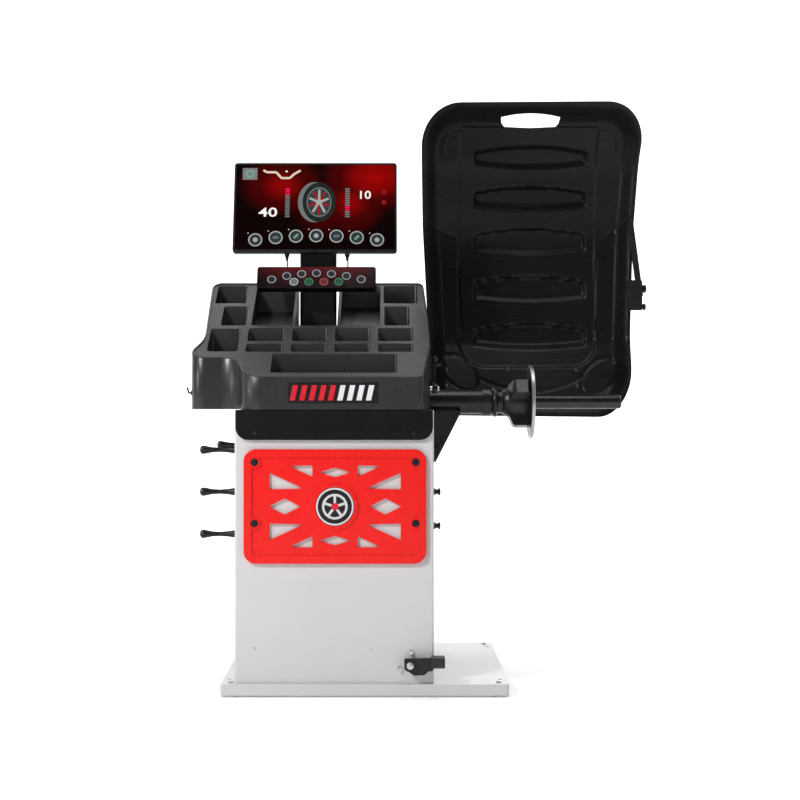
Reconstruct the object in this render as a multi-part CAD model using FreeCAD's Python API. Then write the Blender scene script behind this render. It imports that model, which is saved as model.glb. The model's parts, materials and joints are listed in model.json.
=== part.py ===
"""Wheel balancer with a raised wheel guard, weight tray, monitor and foot brake.

Millimetres. +X runs along the spindle towards its free end, +Y away from the operator,
+Z up. The origin is the centre of the base's footprint on the floor.
"""
import FreeCAD, Part
import math
import os

V = FreeCAD.Vector

# ---------------------------------------------------------------- driving dimensions
SHEET = 2.0

BASE_HALF = (399.0, 370.0)
BASE_LIP_Z = 5.0
BASE_TOP_Z = 36.0
BASE_SHEET = 3.0
FOOT_AT = (371.0, 341.0)
ANCHOR_AT = (379.0, 290.0)
ANCHOR_HOLE_R = 7.0

CABINET_X = (-359.0, 191.0)
CABINET_Y = (-358.0, 222.0)
CABINET_Z = (BASE_TOP_Z, 790.0)
REAR_PANEL_X = (-340.0, 40.0)
REAR_PANEL_Z = (66.0, 760.0)

TRIM_CENTRE = (-82.0, 525.0)
TRIM_SIZE = (503.0, 315.0)
TRIM_THICK = 14.0
TRIM_BORDER = 22.0
TRIM_FIELD_DROP = 5.0
TRIM_BOSS_R = 63.0
TRIM_EMBLEM_R = 54.0
TRIM_SCREW_AT = ((-222.0, 122.0), (222.0, 122.0), (-222.0, -46.0), (222.0, -46.0))

APRON_X = (-356.0, 188.0)
APRON_Z = (708.0, 791.5)
APRON_THICK = 12.0
APRON_SCREW_AT = ((-301.0, 727.0), (138.0, 727.0))

TRAY_Y = (-372.0, 165.0)
TRAY_BASE_Z = 792.0
TRAY_FRONT_Z = 881.5
TRAY_REAR_Z = 1178.5
TRAY_OUTLINE = ((160.0, -372.0), (186.0, -200.0), (184.0, -50.0), (173.0, 165.0), (-475.0, 165.0),
                (-463.0, -165.0), (-513.0, -272.0), (-362.0, -272.0), (-330.0, -372.0))
TRAY_OUTLINE_R = (16.0, 200.0, 300.0, 18.0, 30.0, 150.0, 38.0, 56.0, 60.0)
TRAY_WALL = 4.0
TRAY_RIM = 7.0
TRAY_FIELD_DROP = 3.0
TRAY_HOOK_AT = (-491.4, -234.0, 838.0)
POCKET_CORNER = 7.0
FRONT_ROW_Y = (-344.0, -246.0)
ROW_C_Y = (-234.0, -190.0)
ROW_B_Y = (-176.0, -103.0)
ROW_D_Y = (-88.0, 24.0)
ROW_E_Y = (42.0, 150.0)
COLUMNS_X = ((-340.0, -235.0), (-212.0, -111.0), (-88.0, 13.0), (36.0, 137.0))
LEFT_COLUMN_X = (-450.0, -363.0)
NOTCH_X = (-207.0, -84.0)
NOTCH_Y = (-88.0, 155.0)
NOTCH_SILL_Z = 1044.0

POST_X = (-203.0, -92.0)
POST_Y = (105.0, 150.0)
POST_TOP_Z = 1370.0
MONITOR_PIVOT = (127.0, 1400.0)
MONITOR_CENTRE = (-155.0, 70.0, 1400.0)
MONITOR_SIZE = (494.0, 293.0)
MONITOR_THICK = 26.0
MONITOR_TILT = 17.0

KEYPAD_CENTRE = (-149.0, 15.0, 1184.0)
KEYPAD_SIZE = (356.0, 76.0, 22.0)
KEYPAD_TILT = 28.0
KEY_R = 14.0
KEY_PITCH = 44.6
KEY_ARC_RISE = 14.2
KEY_ARC_SAG = 21.7
KEY_LOWER_DROP = -15.9

AXIS_Y = -90.0
AXIS_Z = 812.0
SHAFT_R = 15.0
STUD_R = 20.0
SHAFT_X = (-66.0, 745.0)
STUD_FROM_X = 489.0
HOUSING_X = (100.0, 366.0)
HOUSING_R = 36.0
BEARING_R = (15.0, 31.0)
BEARING_WIDE = 16.0
BEARING_X = (104.0, 346.0)
PULLEY_X = (-45.0, -15.0)
PULLEY_R = 60.0
DRUM_X = (60.0, 96.0)
DRUM_R = 75.0
HUB_X = (405.0, 477.0)
HUB_R = 46.0
LOBE_R = 73.0
FLANGE_X = (477.0, 487.0)
FLANGE_R = 107.0
CARRIER_X = (120.0, 130.0)

MOTOR_AT = (40.0, 600.0)
MOTOR_R = 50.0
MOTOR_PULLEY_R = 20.0
BELT_GAP = 0.3
BELT_THICK = 4.0

PEDAL_AT = (125.0, 90.0)
PEDAL_SHAFT_R = 8.0
CRANK_REACH = 47.0
ROD_AT = (PEDAL_AT[0] - CRANK_REACH, -102.0)
SHOE_GAP = 7.5

GAUGE_AT = (-215.0, 850.0)
GAUGE_BAR_R = 8.0
GAUGE_BAR_X = (-310.0, 210.0)

GUARD_AXIS = (440.0, 880.0)
GUARD_TUBE_R = 21.0
GUARD_TUBE_X = (70.0, 720.0)
GUARD_SHEET = 4.0
GUARD_RIM_DEEP = 45.0
GUARD_PATH = ((322.0, 756.0), (455.0, 1012.0), (490.0, 1342.0), (430.0, 1580.0), (285.0, 1772.0))
GUARD_PATH_R = (0.0, 150.0, 400.0, 150.0, 0.0)
GUARD_OUTLINE = ((171.0, 1754.0), (887.0, 1758.0), (863.0, 1382.0), (851.0, 1050.0),
                 (843.0, 761.0), (200.0, 768.0), (197.0, 1000.0), (178.0, 1382.0))
GUARD_OUTLINE_R = (125.0, 115.0, 800.0, 800.0, 120.0, 90.0, 600.0, 800.0)
GUARD_SLOT_X = (427.0, 619.0)
GUARD_SLOT_Z = (1684.0, 1731.0)
BRACKET_PLATES_X = ((76.0, 84.0), (152.0, 160.0))

PEG_PLACES = ((-300.0, 679.0), (-300.0, 562.0), (-300.0, 444.0), (160.0, 679.0))
STUB_PLACES = ((-300.0, 562.0), (-300.0, 467.0))
INLET_AT = (-268.0, 124.0)
SWITCH_AT = (-204.0, 124.0)


# ---------------------------------------------------------------- shape helpers
def box(x, y, z):
    """Box between the limit pairs."""
    shape = Part.makeBox(x[1] - x[0], y[1] - y[0], z[1] - z[0])
    shape.translate(V(x[0], y[0], z[0]))
    return shape


def rod(radius, start, end):
    """Round bar between two points."""
    run = V(*end) - V(*start)
    return Part.makeCylinder(radius, run.Length, V(*start), run)


def tube(outer, inner, start, end):
    """Round tube between two points."""
    return rod(outer, start, end).cut(rod(inner, start, end))


def turned(profile, start, direction):
    """Solid of revolution: profile holds (distance along the axis, radius) pairs."""
    points = [V(radius, 0, along) for along, radius in profile]
    if profile[0][1] > 0 and profile[-1][1] > 0:
        points = [V(0, 0, profile[0][0])] + points + [V(0, 0, profile[-1][0])]
    face = Part.Face(Part.makePolygon(points + [points[0]]))
    shape = face.revolve(V(0, 0, 0), V(0, 0, 1), 360)
    shape.Placement = FreeCAD.Placement(V(*start), FreeCAD.Rotation(V(0, 0, 1), V(*direction)))
    return shape


def turned_ring(profile, start, direction):
    """Ring of revolution: profile is a closed outline of (distance, radius) pairs."""
    points = [V(radius, 0, along) for along, radius in profile]
    face = Part.Face(Part.makePolygon(points + [points[0]]))
    shape = face.revolve(V(0, 0, 0), V(0, 0, 1), 360)
    shape.Placement = FreeCAD.Placement(V(*start), FreeCAD.Rotation(V(0, 0, 1), V(*direction)))
    return shape


def rounded_face(points, radius):
    """Flat face through the points, each corner rounded by one radius or by its own."""
    count = len(points)
    radii = list(radius) if isinstance(radius, (list, tuple)) else [radius] * count
    corners = []
    for i, corner in enumerate(points):
        if radii[i] <= 0:
            corners.append((corner, corner, corner))
            continue
        back = (points[i - 1] - corner).normalize()
        ahead = (points[(i + 1) % count] - corner).normalize()
        half = back.getAngle(ahead) / 2
        reach = radii[i] / math.tan(half)
        centre = corner + (back + ahead).normalize() * (radii[i] / math.sin(half))
        middle = centre + (corner - centre).normalize() * radii[i]
        corners.append((corner + back * reach, middle, corner + ahead * reach))
    edges = []
    for i, (start, middle, end) in enumerate(corners):
        if radii[i] > 0:
            edges.append(Part.Arc(start, middle, end).toShape())
        following = corners[(i + 1) % count][0]
        if end.distanceToPoint(following) > 1e-6:
            edges.append(Part.makeLine(end, following))
    return Part.Face(Part.Wire(edges))


AXIS_POINT = {
    "x": lambda a, b, c: V(c, a, b),
    "y": lambda a, b, c: V(a, c, b),
    "z": lambda a, b, c: V(a, b, c),
}
AXIS_RUN = {"x": V(1, 0, 0), "y": V(0, 1, 0), "z": V(0, 0, 1)}


def outline_face(axis, outline, at, radius=0):
    """Face square to an axis, from the outline's two other coordinates in X, Y, Z order."""
    return rounded_face([AXIS_POINT[axis](a, b, at) for a, b in outline], radius)


def prism(axis, outline, low, high, radius=0):
    """Outline extruded along an axis from low to high."""
    return outline_face(axis, outline, low, radius).extrude(AXIS_RUN[axis] * (high - low))


def rectangle(first, second):
    """Four corners of a rectangle between two limit pairs."""
    return [(first[0], second[0]), (first[1], second[0]), (first[1], second[1]), (first[0], second[1])]


def plate(axis, first, second, low, high, radius=0):
    """Rounded rectangular plate square to an axis."""
    return prism(axis, rectangle(first, second), low, high, radius)


def grown(limits, by):
    """Limit pair widened by the same amount at both ends."""
    return (limits[0] - by, limits[1] + by)


def fused(shapes):
    """One solid from touching shapes."""
    whole = shapes[0].multiFuse(shapes[1:]) if len(shapes) > 1 else shapes[0]
    return whole.removeSplitter()


def drilled(shape, holes):
    """Shape with round holes: each hole is (radius, start, end)."""
    for radius, start, end in holes:
        shape = shape.cut(rod(radius, start, end))
    return shape


def leaned_back(shape, centre, degrees):
    """Move a shape built round the origin to centre, its top leaning towards +Y."""
    shape.rotate(V(0, 0, 0), V(1, 0, 0), -degrees)
    shape.translate(V(*centre))
    return shape


def hex_prism(across, start, direction, height):
    """Hexagonal bar of a given width across its flats."""
    radius = across / math.sqrt(3)
    corners = [V(radius * math.cos(math.radians(60 * i)), radius * math.sin(math.radians(60 * i)), 0)
               for i in range(6)]
    shape = Part.Face(Part.makePolygon(corners + [corners[0]])).extrude(V(0, 0, height))
    dome = turned([(0, radius * 0.93), (height * 0.7, radius * 1.02), (height, radius * 0.86)],
                  (0, 0, 0), (0, 0, 1))
    shape = shape.common(dome.fuse(Part.makeCylinder(radius * 1.02, height * 0.7)))
    shape.Placement = FreeCAD.Placement(V(*start), FreeCAD.Rotation(V(0, 0, 1), V(*direction)))
    return shape


def hex_bolt(across, start, direction, shank):
    """Hex bolt whose head sits at start and stands out along direction."""
    washer = Part.makeCylinder(across * 0.66, 1.5)
    washer.Placement = FreeCAD.Placement(V(*start), FreeCAD.Rotation(V(0, 0, 1), V(*direction)))
    out = V(*direction)
    head = hex_prism(across, tuple(V(*start) + out * 1.5), direction, across * 0.6)
    stem = Part.makeCylinder(across * 0.3, shank + 1, V(*start) - out * shank, out)
    return fused([washer, head, stem])


def offset_path(path, distance):
    """Open path moved sideways, to the right of its direction of travel."""
    normals = []
    for (a0, b0), (a1, b1) in zip(path, path[1:]):
        length = math.hypot(a1 - a0, b1 - b0)
        normals.append(((b1 - b0) / length, -(a1 - a0) / length))
    moved = []
    for i, (a, b) in enumerate(path):
        before = normals[max(i - 1, 0)]
        after = normals[min(i, len(normals) - 1)]
        scale = distance / (1 + before[0] * after[0] + before[1] * after[1])
        moved.append((a + (before[0] + after[0]) * scale, b + (before[1] + after[1]) * scale))
    return moved


# ---------------------------------------------------------------- base and cabinet
def corner_places(half):
    """The four places at plus and minus a half spacing."""
    return [(sx * half[0], sy * half[1]) for sx in (-1, 1) for sy in (-1, 1)]


def make_base_pan():
    outer = plate("z", (-BASE_HALF[0], BASE_HALF[0]), (-BASE_HALF[1], BASE_HALF[1]),
                  BASE_LIP_Z, BASE_TOP_Z, 10)
    inner = plate("z", grown((-BASE_HALF[0], BASE_HALF[0]), -BASE_SHEET),
                  grown((-BASE_HALF[1], BASE_HALF[1]), -BASE_SHEET),
                  BASE_LIP_Z - 1, BASE_TOP_Z - BASE_SHEET, 10 - BASE_SHEET)
    top_edges = [e for e in outer.Edges if min(v.Z for v in e.Vertexes) > BASE_TOP_Z - 0.1]
    pan = outer.makeFillet(3.0, top_edges).cut(inner)
    holes = [(ANCHOR_HOLE_R, (x, y, 0), (x, y, 50)) for x, y in corner_places(ANCHOR_AT)]
    holes += [(4.3, (x, y, 0), (x, y, 50)) for x, y in corner_places(FOOT_AT)]
    return drilled(pan, holes)


def make_levelling_feet():
    solids = []
    for x, y in corner_places(FOOT_AT):
        pad = turned([(0, 24), (3, 24), (7, 17), (10, 8)], (x, y, 0), (0, 0, 1))
        solids.append(pad.fuse(rod(4.0, (x, y, 9), (x, y, 41.5))).removeSplitter())
        for start_z in (BASE_TOP_Z - BASE_SHEET - 4, BASE_TOP_Z):
            nut = hex_prism(13.0, (x, y, start_z), (0, 0, 1), 4)
            solids.append(nut.cut(rod(4.1, (x, y, 0), (x, y, 60))))
    return solids


def make_cabinet_shell():
    outer = plate("z", CABINET_X, CABINET_Y, CABINET_Z[0], CABINET_Z[1], 6)
    inner = plate("z", grown(CABINET_X, -SHEET), grown(CABINET_Y, -SHEET),
                  CABINET_Z[0] + SHEET, CABINET_Z[1] - SHEET, 6 - SHEET)
    shell = outer.cut(inner)
    shell = shell.cut(box(grown(CABINET_X, -26), grown(CABINET_Y, -26), (30, 40)))
    shell = shell.cut(box((-330, 162), (-330, 30), (780, 795)))
    shell = shell.cut(box((150, 195), (AXIS_Y - 42, AXIS_Y + 42), (768, 795)))
    shell = shell.cut(box(grown(REAR_PANEL_X, -14), (215, 225), grown(REAR_PANEL_Z, -14)))
    holes = [(PEDAL_SHAFT_R + 4.05, (PEDAL_AT[0], -365, PEDAL_AT[1]), (PEDAL_AT[0], -350, PEDAL_AT[1]))]
    holes += [(4.3, (-365, y, z), (-350, y, z)) for y, z in PEG_PLACES]
    holes += [(4.3, (185, y, z), (195, y, z)) for y, z in STUB_PLACES]
    holes += [(hole_r, start, end) for hole_r, start, end in wall_bolt_holes()]
    return drilled(shell, holes)


def make_rear_panel():
    panel = plate("y", REAR_PANEL_X, REAR_PANEL_Z, CABINET_Y[1], CABINET_Y[1] + SHEET, 6)
    for column in range(2):
        x = REAR_PANEL_X[0] + 70 + column * 140
        for row in range(8):
            z = 560 + row * 20
            panel = panel.cut(plate("y", (x, x + 100), (z, z + 7), 215, 230, 3))
    panel = panel.cut(plate("y", (INLET_AT[0] - 17, INLET_AT[0] + 17),
                            (INLET_AT[1] - 13, INLET_AT[1] + 13), 215, 230, 2))
    panel = panel.cut(plate("y", (SWITCH_AT[0] - 14, SWITCH_AT[0] + 14),
                            (SWITCH_AT[1] - 13, SWITCH_AT[1] + 13), 215, 230, 2))
    return drilled(panel, [(2.8, (x, 215, z), (x, 230, z)) for x, z in rear_screw_places()])


def rear_screw_places():
    """Screws down both edges of the rear panel."""
    return [(x, z) for x in grown(REAR_PANEL_X, -7) for z in (90, 413, 736)]


def trim_cutouts():
    """Window outlines of the trim, as offsets from its centre, mirrored into four quarters."""
    outlines = []
    for side in (-1, 1):
        outlines.append([(0, side * 107), (46, side * 94), (0, side * 80.5), (-46, side * 94)])
        outlines.append([(side * 94.5, 0), (side * 139, 22.5), (side * 183.5, 0), (side * 139, -22.5)])
        for level in (-1, 1):
            outlines.append([(side * 181, level * 93), (side * 181, level * 47), (side * 85, level * 49)])
            outlines.append([(side * 128, level * 112), (side * 62, level * 113), (side * 62, level * 82)])
    return outlines


def make_trim_panel():
    cx, cz = TRIM_CENTRE
    half = (TRIM_SIZE[0] / 2, TRIM_SIZE[1] / 2)
    back = CABINET_Y[0]
    front = back - TRIM_THICK
    body = plate("y", (cx - half[0], cx + half[0]), (cz - half[1], cz + half[1]), front, back, 33)
    rim_edges = [e for e in body.Edges if max(v.Y for v in e.Vertexes) < front + 0.1]
    body = body.makeFillet(4.0, rim_edges)
    field = plate("y", grown((cx - half[0], cx + half[0]), -TRIM_BORDER),
                  grown((cz - half[1], cz + half[1]), -TRIM_BORDER),
                  front - 1, front + TRIM_FIELD_DROP, 16)
    for dx, dz in TRIM_SCREW_AT:
        field = field.cut(rod(17, (cx + dx, front - 2, cz + dz), (cx + dx, back, cz + dz)))
    field = field.cut(rod(TRIM_BOSS_R, (cx, front - 2, cz), (cx, back, cz)))
    body = body.cut(field)
    body = body.cut(rod(TRIM_EMBLEM_R, (cx, front - 1, cz), (cx, front + 3, cz)))
    for outline in trim_cutouts():
        window = prism("y", [(cx + a, cz + b) for a, b in outline], front - 5, back + 5, 2.5)
        body = body.cut(window)
    holes = [(3.3, (cx + dx, front - 2, cz + dz), (cx + dx, back + 2, cz + dz)) for dx, dz in TRIM_SCREW_AT]
    return drilled(body, holes)


def make_front_apron():
    front = CABINET_Y[0] - APRON_THICK
    body = prism("y", rectangle(APRON_X, APRON_Z), front, CABINET_Y[0], (36, 36, 3, 3))
    edges = [e for e in body.Edges if max(v.Y for v in e.Vertexes) < front + 0.1]
    body = body.makeFillet(2.5, edges)
    return drilled(body, [(3.3, (x, front - 2, z), (x, CABINET_Y[0] + 2, z)) for x, z in APRON_SCREW_AT])


def pan_head_screw(start, direction, shank, head_r=6.5):
    """Pan-head screw with a round recess, its head standing out along direction."""
    out = V(*direction)
    head = turned([(0, head_r), (1.6, head_r), (3.4, head_r - 1.5), (4.2, head_r - 4)], start, direction)
    stem = Part.makeCylinder(2.6, shank + 1, V(*start) - out * shank, out)
    recess = Part.makeCylinder(2.2, 3.0, V(*start) + out * 2.2, out)
    return fused([head, stem]).cut(recess)


def make_panel_screws():
    cx, cz = TRIM_CENTRE
    trim_front = CABINET_Y[0] - TRIM_THICK
    solids = [pan_head_screw((cx + dx, trim_front, cz + dz), (0, -1, 0), TRIM_THICK - 1, 10.5)
              for dx, dz in TRIM_SCREW_AT]
    solids += [pan_head_screw((x, CABINET_Y[0] - APRON_THICK, z), (0, -1, 0), APRON_THICK - 1)
               for x, z in APRON_SCREW_AT]
    solids += [pan_head_screw((x, CABINET_Y[1] + SHEET, z), (0, 1, 0), SHEET - 0.5)
               for x, z in rear_screw_places()]
    return solids


def wall_bolts():
    """Hex bolts: (across flats, seat, direction the head stands out, shank)."""
    front = CABINET_Y[0]
    bolts = [(12, (127, front, 122), (0, -1, 0), 6), (12, (97, front, 76), (0, -1, 0), 6)]
    bolts += [(12, (197, y, z), (1, 0, 0), 10) for y in (-122, -58) for z in (745, 655)]
    bolts += [(13, (x, 230, z), (0, 1, 0), 14) for x in (67, 118, 171) for z in (640, 765)]
    return bolts


def wall_bolt_holes():
    """Clearance holes that the wall bolts pass through."""
    holes = []
    for across, seat, out, shank in wall_bolts():
        far = tuple(V(*seat) - V(*out) * (shank + 4))
        holes.append((across * 0.3 + 0.3, seat, far))
    return holes


def make_hex_bolts():
    solids = [hex_bolt(across, seat, out, shank) for across, seat, out, shank in wall_bolts()]
    solids += [hex_bolt(10, (x, -138, z), (0, -1, 0), 4) for x, z in gusset_bolt_places()]
    return solids


def gusset_bolt_places():
    """Bolts through the front cheek of the spindle's outside gusset."""
    return [(211, 702), (224, 708), (214, 682)]


# ---------------------------------------------------------------- weight tray
def tray_top(y):
    """Height of the tray's sloping upper edge at a depth y."""
    share = (y - TRAY_Y[0]) / (TRAY_Y[1] - TRAY_Y[0])
    return TRAY_FRONT_Z + (TRAY_REAR_Z - TRAY_FRONT_Z) * share


def under_slope(drop):
    """Everything below the tray's top, lowered by drop, running past its front and rear."""
    y0, y1 = grown(TRAY_Y, 20)
    return prism("x", [(y0, TRAY_BASE_Z - 20), (y0, tray_top(y0) - drop), (y1, tray_top(y1) - drop),
                       (y1, TRAY_BASE_Z - 20)], -600, 300)


def tray_pockets():
    """Every pocket as (x limits, y limits, floor height at its front, floor height at its rear)."""
    def flat(x, y, lip):
        level = tray_top(y[0]) - TRAY_FIELD_DROP - lip
        return (x, y, level, level)

    whole = (ROW_D_Y[0], ROW_E_Y[1])
    pockets = [flat((-262, 90), FRONT_ROW_Y, 12)]
    for x in COLUMNS_X:
        pockets.append(flat(x, ROW_C_Y, 18))
        pockets.append(flat(x, ROW_B_Y, 20))
    pockets.append(flat(LEFT_COLUMN_X, (-232, -106), 18))
    pockets.append(flat((-425, -352), ROW_D_Y, 26))
    pockets.append(flat((-455, -363), ROW_E_Y, 34))
    pockets.append(((-336, NOTCH_X[0] - 9), whole, 985, 1086))
    pockets.append(((NOTCH_X[1] + 9, 42), whole, 990, 1100))
    pockets.append(flat((54, 128), ROW_D_Y, 22))
    pockets.append(flat((52, 154), ROW_E_Y, 34))
    return pockets


def pocket_solid(x, y, front_z, rear_z, top, corner):
    """Rounded pocket or its walls, its floor level or sloping up towards the rear."""
    body = prism("x", [(y[0], front_z), (y[1], rear_z), (y[1], top), (y[0], top)], x[0], x[1])
    edges = [e for e in body.Edges if abs(e.Vertexes[0].X - e.Vertexes[1].X) < 0.01
             and abs(e.Vertexes[0].Y - e.Vertexes[1].Y) < 0.01]
    return body.makeFillet(corner, edges)


def make_weight_tray():
    face = outline_face("z", TRAY_OUTLINE, TRAY_BASE_Z, TRAY_OUTLINE_R)
    up = V(0, 0, 500)
    outer = face.extrude(up).common(under_slope(0))
    rim_inside = face.makeOffset2D(-TRAY_RIM).extrude(up)
    rim_inside.translate(V(0, 0, 40))
    field_air = rim_inside.cut(under_slope(TRAY_FIELD_DROP))
    cavity_plan = face.makeOffset2D(-TRAY_WALL).extrude(up)
    cavity_plan.translate(V(0, 0, -10))
    cavity = cavity_plan.common(under_slope(TRAY_FIELD_DROP + TRAY_WALL))
    walls = [pocket_solid(grown(x, TRAY_WALL), grown(y, TRAY_WALL), front - TRAY_WALL, rear - TRAY_WALL,
                          1300, POCKET_CORNER + TRAY_WALL) for x, y, front, rear in tray_pockets()]
    walls.append(box(grown(NOTCH_X, TRAY_WALL), (NOTCH_Y[0] - TRAY_WALL, TRAY_Y[1]), (700, 1300)))
    tray = outer.cut(cavity.cut(walls)).cut(field_air)
    air = [pocket_solid(x, y, front, rear, 1300, POCKET_CORNER) for x, y, front, rear in tray_pockets()]
    air.append(box(NOTCH_X, NOTCH_Y, (700, 1300)))
    air.append(box(NOTCH_X, (NOTCH_Y[1] - 5, TRAY_Y[1] + 5), (NOTCH_SILL_Z, 1300)))
    air.append(plate("x", (-240, AXIS_Y + 48), (700, 878), 148, 200, 14))
    tray = tray.cut(air).removeSplitter()
    front_edges = [e for e in tray.Edges
                   if min(v.Z for v in e.Vertexes) > tray_top(TRAY_Y[0]) - 1
                   and max(v.Y for v in e.Vertexes) < TRAY_Y[0] + 0.1
                   and abs(e.Vertexes[0].X - e.Vertexes[-1].X) > 100]
    return tray.makeChamfer(2.5, front_edges) if front_edges else tray


# ---------------------------------------------------------------- post, monitor, keypad
def make_monitor_post():
    plinth = plate("z", (-206, -86), (38, 152), CABINET_Z[1], CABINET_Z[1] + 8, 6)
    outer = plate("z", POST_X, POST_Y, CABINET_Z[1] + 8, POST_TOP_Z, 8)
    inner = plate("z", grown(POST_X, -3), grown(POST_Y, -3), CABINET_Z[1], POST_TOP_Z - 3, 5)
    parts = [plinth, outer.cut(inner)]
    shelf = box((-190, -108), (38, POST_Y[0] + 1), (1168, 1176))
    parts.append(shelf)
    keypad_plate = plate("y", (-46, 46), (-26, 26), KEYPAD_SIZE[2], KEYPAD_SIZE[2] + 4, 4)
    parts.append(leaned_back(keypad_plate, KEYPAD_CENTRE, KEYPAD_TILT))
    pivot_y, pivot_z = MONITOR_PIVOT
    for x in (-196, -116):
        ear = prism("x", [(pivot_y - 16, POST_TOP_Z - 1), (pivot_y + 16, POST_TOP_Z - 1),
                          (pivot_y + 16, pivot_z + 16), (pivot_y - 16, pivot_z + 16)],
                    x, x + 8, (0, 0, 15, 15))
        parts.append(ear.cut(rod(6.05, (x - 2, pivot_y, pivot_z), (x + 10, pivot_y, pivot_z))))
    return fused(parts)


def make_monitor_mount():
    """Screen bracket: plate on the screen's back, arm, barrel and pivot pin."""
    pivot_y, pivot_z = MONITOR_PIVOT
    backing = plate("y", (-55, 55), (-55, 55), MONITOR_THICK, MONITOR_THICK + 3, 6)
    backing = leaned_back(backing, MONITOR_CENTRE, MONITOR_TILT)
    barrel = rod(12, (-186, pivot_y, pivot_z), (-118, pivot_y, pivot_z))
    pin = rod(6, (-202, pivot_y, pivot_z), (-102, pivot_y, pivot_z))
    arm = box((-170, -134), (99.5, pivot_y), (pivot_z - 7, pivot_z + 7))
    return fused([backing, barrel, pin, arm])


def make_monitor_shell():
    half = (MONITOR_SIZE[0] / 2, MONITOR_SIZE[1] / 2)
    body = plate("y", (-half[0], half[0]), (-half[1], half[1]), 0, 14, 9)
    rear = plate("y", grown((-half[0], half[0]), -22), grown((-half[1], half[1]), -18),
                 10, MONITOR_THICK, 24)
    rear_edges = [e for e in rear.Edges if min(v.Y for v in e.Vertexes) > MONITOR_THICK - 0.1]
    rear = rear.makeFillet(8.0, rear_edges)
    recess = plate("y", grown((-half[0], half[0]), -6), (-half[1] + 9, half[1] - 6), -1, 2, 3)
    shell = fused([body, rear]).cut(recess)
    for row in range(6):
        z = 66 + row * 8
        shell = shell.cut(box((-120, 120), (MONITOR_THICK - 5, MONITOR_THICK + 1), (z, z + 3)))
    return leaned_back(shell, MONITOR_CENTRE, MONITOR_TILT)


def make_monitor_screen():
    half = (MONITOR_SIZE[0] / 2, MONITOR_SIZE[1] / 2)
    glass = plate("y", grown((-half[0], half[0]), -6.3), (-half[1] + 9.3, half[1] - 6.3), 0.2, 2, 3)
    return leaned_back(glass, MONITOR_CENTRE, MONITOR_TILT)


def key_places():
    """Key centres on the keypad's face: an arc of seven over a row of four."""
    upper = [(KEY_PITCH * i, KEY_ARC_RISE - KEY_ARC_SAG * (i / 3) ** 2) for i in range(-3, 4)]
    lower = [(KEY_PITCH * (i - 1.5), KEY_LOWER_DROP) for i in range(4)]
    return upper + lower


def make_keypad_housing():
    half = (KEYPAD_SIZE[0] / 2, KEYPAD_SIZE[1] / 2)
    body = plate("y", (-half[0], half[0]), (-half[1], half[1]), 0, KEYPAD_SIZE[2], 8)
    front_edges = [e for e in body.Edges if max(v.Y for v in e.Vertexes) < 0.1]
    body = body.makeFillet(2.0, front_edges)
    hollow = plate("y", grown((-half[0], half[0]), -3), grown((-half[1], half[1]), -3),
                   3, KEYPAD_SIZE[2] - 3, 5)
    body = body.cut(hollow)
    body = drilled(body, [(KEY_R + 0.3, (x, -1, z), (x, 4, z)) for x, z in key_places()])
    return leaned_back(body, KEYPAD_CENTRE, KEYPAD_TILT)


def make_key(x, z):
    """Round key: a cap that stands 1 mm proud and a retaining flange behind the face."""
    cap = turned([(-1.0, KEY_R - 0.8), (-0.4, KEY_R), (3.4, KEY_R), (3.4, KEY_R + 0.8), (5, KEY_R + 0.8)],
                 (x, 0, z), (0, 1, 0))
    return leaned_back(cap, KEYPAD_CENTRE, KEYPAD_TILT)


def make_monitor_cables():
    return [rod(2.2, (x, 57, 1206), (x, 60, 1252)) for x in (-240, -58)]


# ---------------------------------------------------------------- spindle and drive
def around_axis(profile):
    """Turned solid on the spindle's axis; distances are X coordinates."""
    return turned(profile, (0, AXIS_Y, AXIS_Z), (1, 0, 0))


def axis_rod(radius, x):
    """Round bar on the spindle's axis."""
    return rod(radius, (x[0], AXIS_Y, AXIS_Z), (x[1], AXIS_Y, AXIS_Z))


def make_spindle_carrier():
    """Upright plate inside the cabinet that holds the spindle housing and the motor."""
    upright = plate("x", (-190, 110), (CABINET_Z[0] + SHEET, 786), CARRIER_X[0], CARRIER_X[1], 10)
    foot = box((CARRIER_X[0] - 60, CARRIER_X[1]), (-190, 110), (BASE_TOP_Z + SHEET, BASE_TOP_Z + 10))
    clamp = axis_rod(HOUSING_R + 14, CARRIER_X)
    guide_arm = box((ROD_AT[0] - 12, CARRIER_X[0]), (ROD_AT[1] - 12, ROD_AT[1] + 12), (420, 432))
    body = fused([upright, foot, clamp, guide_arm])
    body = body.cut(axis_rod(HOUSING_R + 0.05, (50, 200)))
    body = body.cut(box(grown(CARRIER_X, 1), (-191, -66), (BASE_TOP_Z + 10, PEDAL_AT[1] + 28)))
    holes = [(6.4, (ROD_AT[0], ROD_AT[1], 400), (ROD_AT[0], ROD_AT[1], 450))]
    return drilled(body, holes)


def make_spindle_housing():
    """Bearing tube with a stepped collar at its outer end."""
    body = axis_rod(HOUSING_R, HOUSING_X).fuse(axis_rod(42, (340, 362)))
    body = body.cut(axis_rod(BEARING_R[1] - 4, HOUSING_X))
    for x in BEARING_X:
        body = body.cut(axis_rod(BEARING_R[1], (x, x + BEARING_WIDE)))
    body = body.cut(axis_rod(BEARING_R[1], (HOUSING_X[0] - 1, BEARING_X[0] + 1)))
    return body.cut(axis_rod(BEARING_R[1], (BEARING_X[1], HOUSING_X[1] + 1))).removeSplitter()


def bearing_groove(x):
    """Ball track of one bearing, as a ring."""
    track = Part.makeTorus(23.0, 4.9, V(x + BEARING_WIDE / 2, AXIS_Y, AXIS_Z), V(1, 0, 0))
    return track


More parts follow.
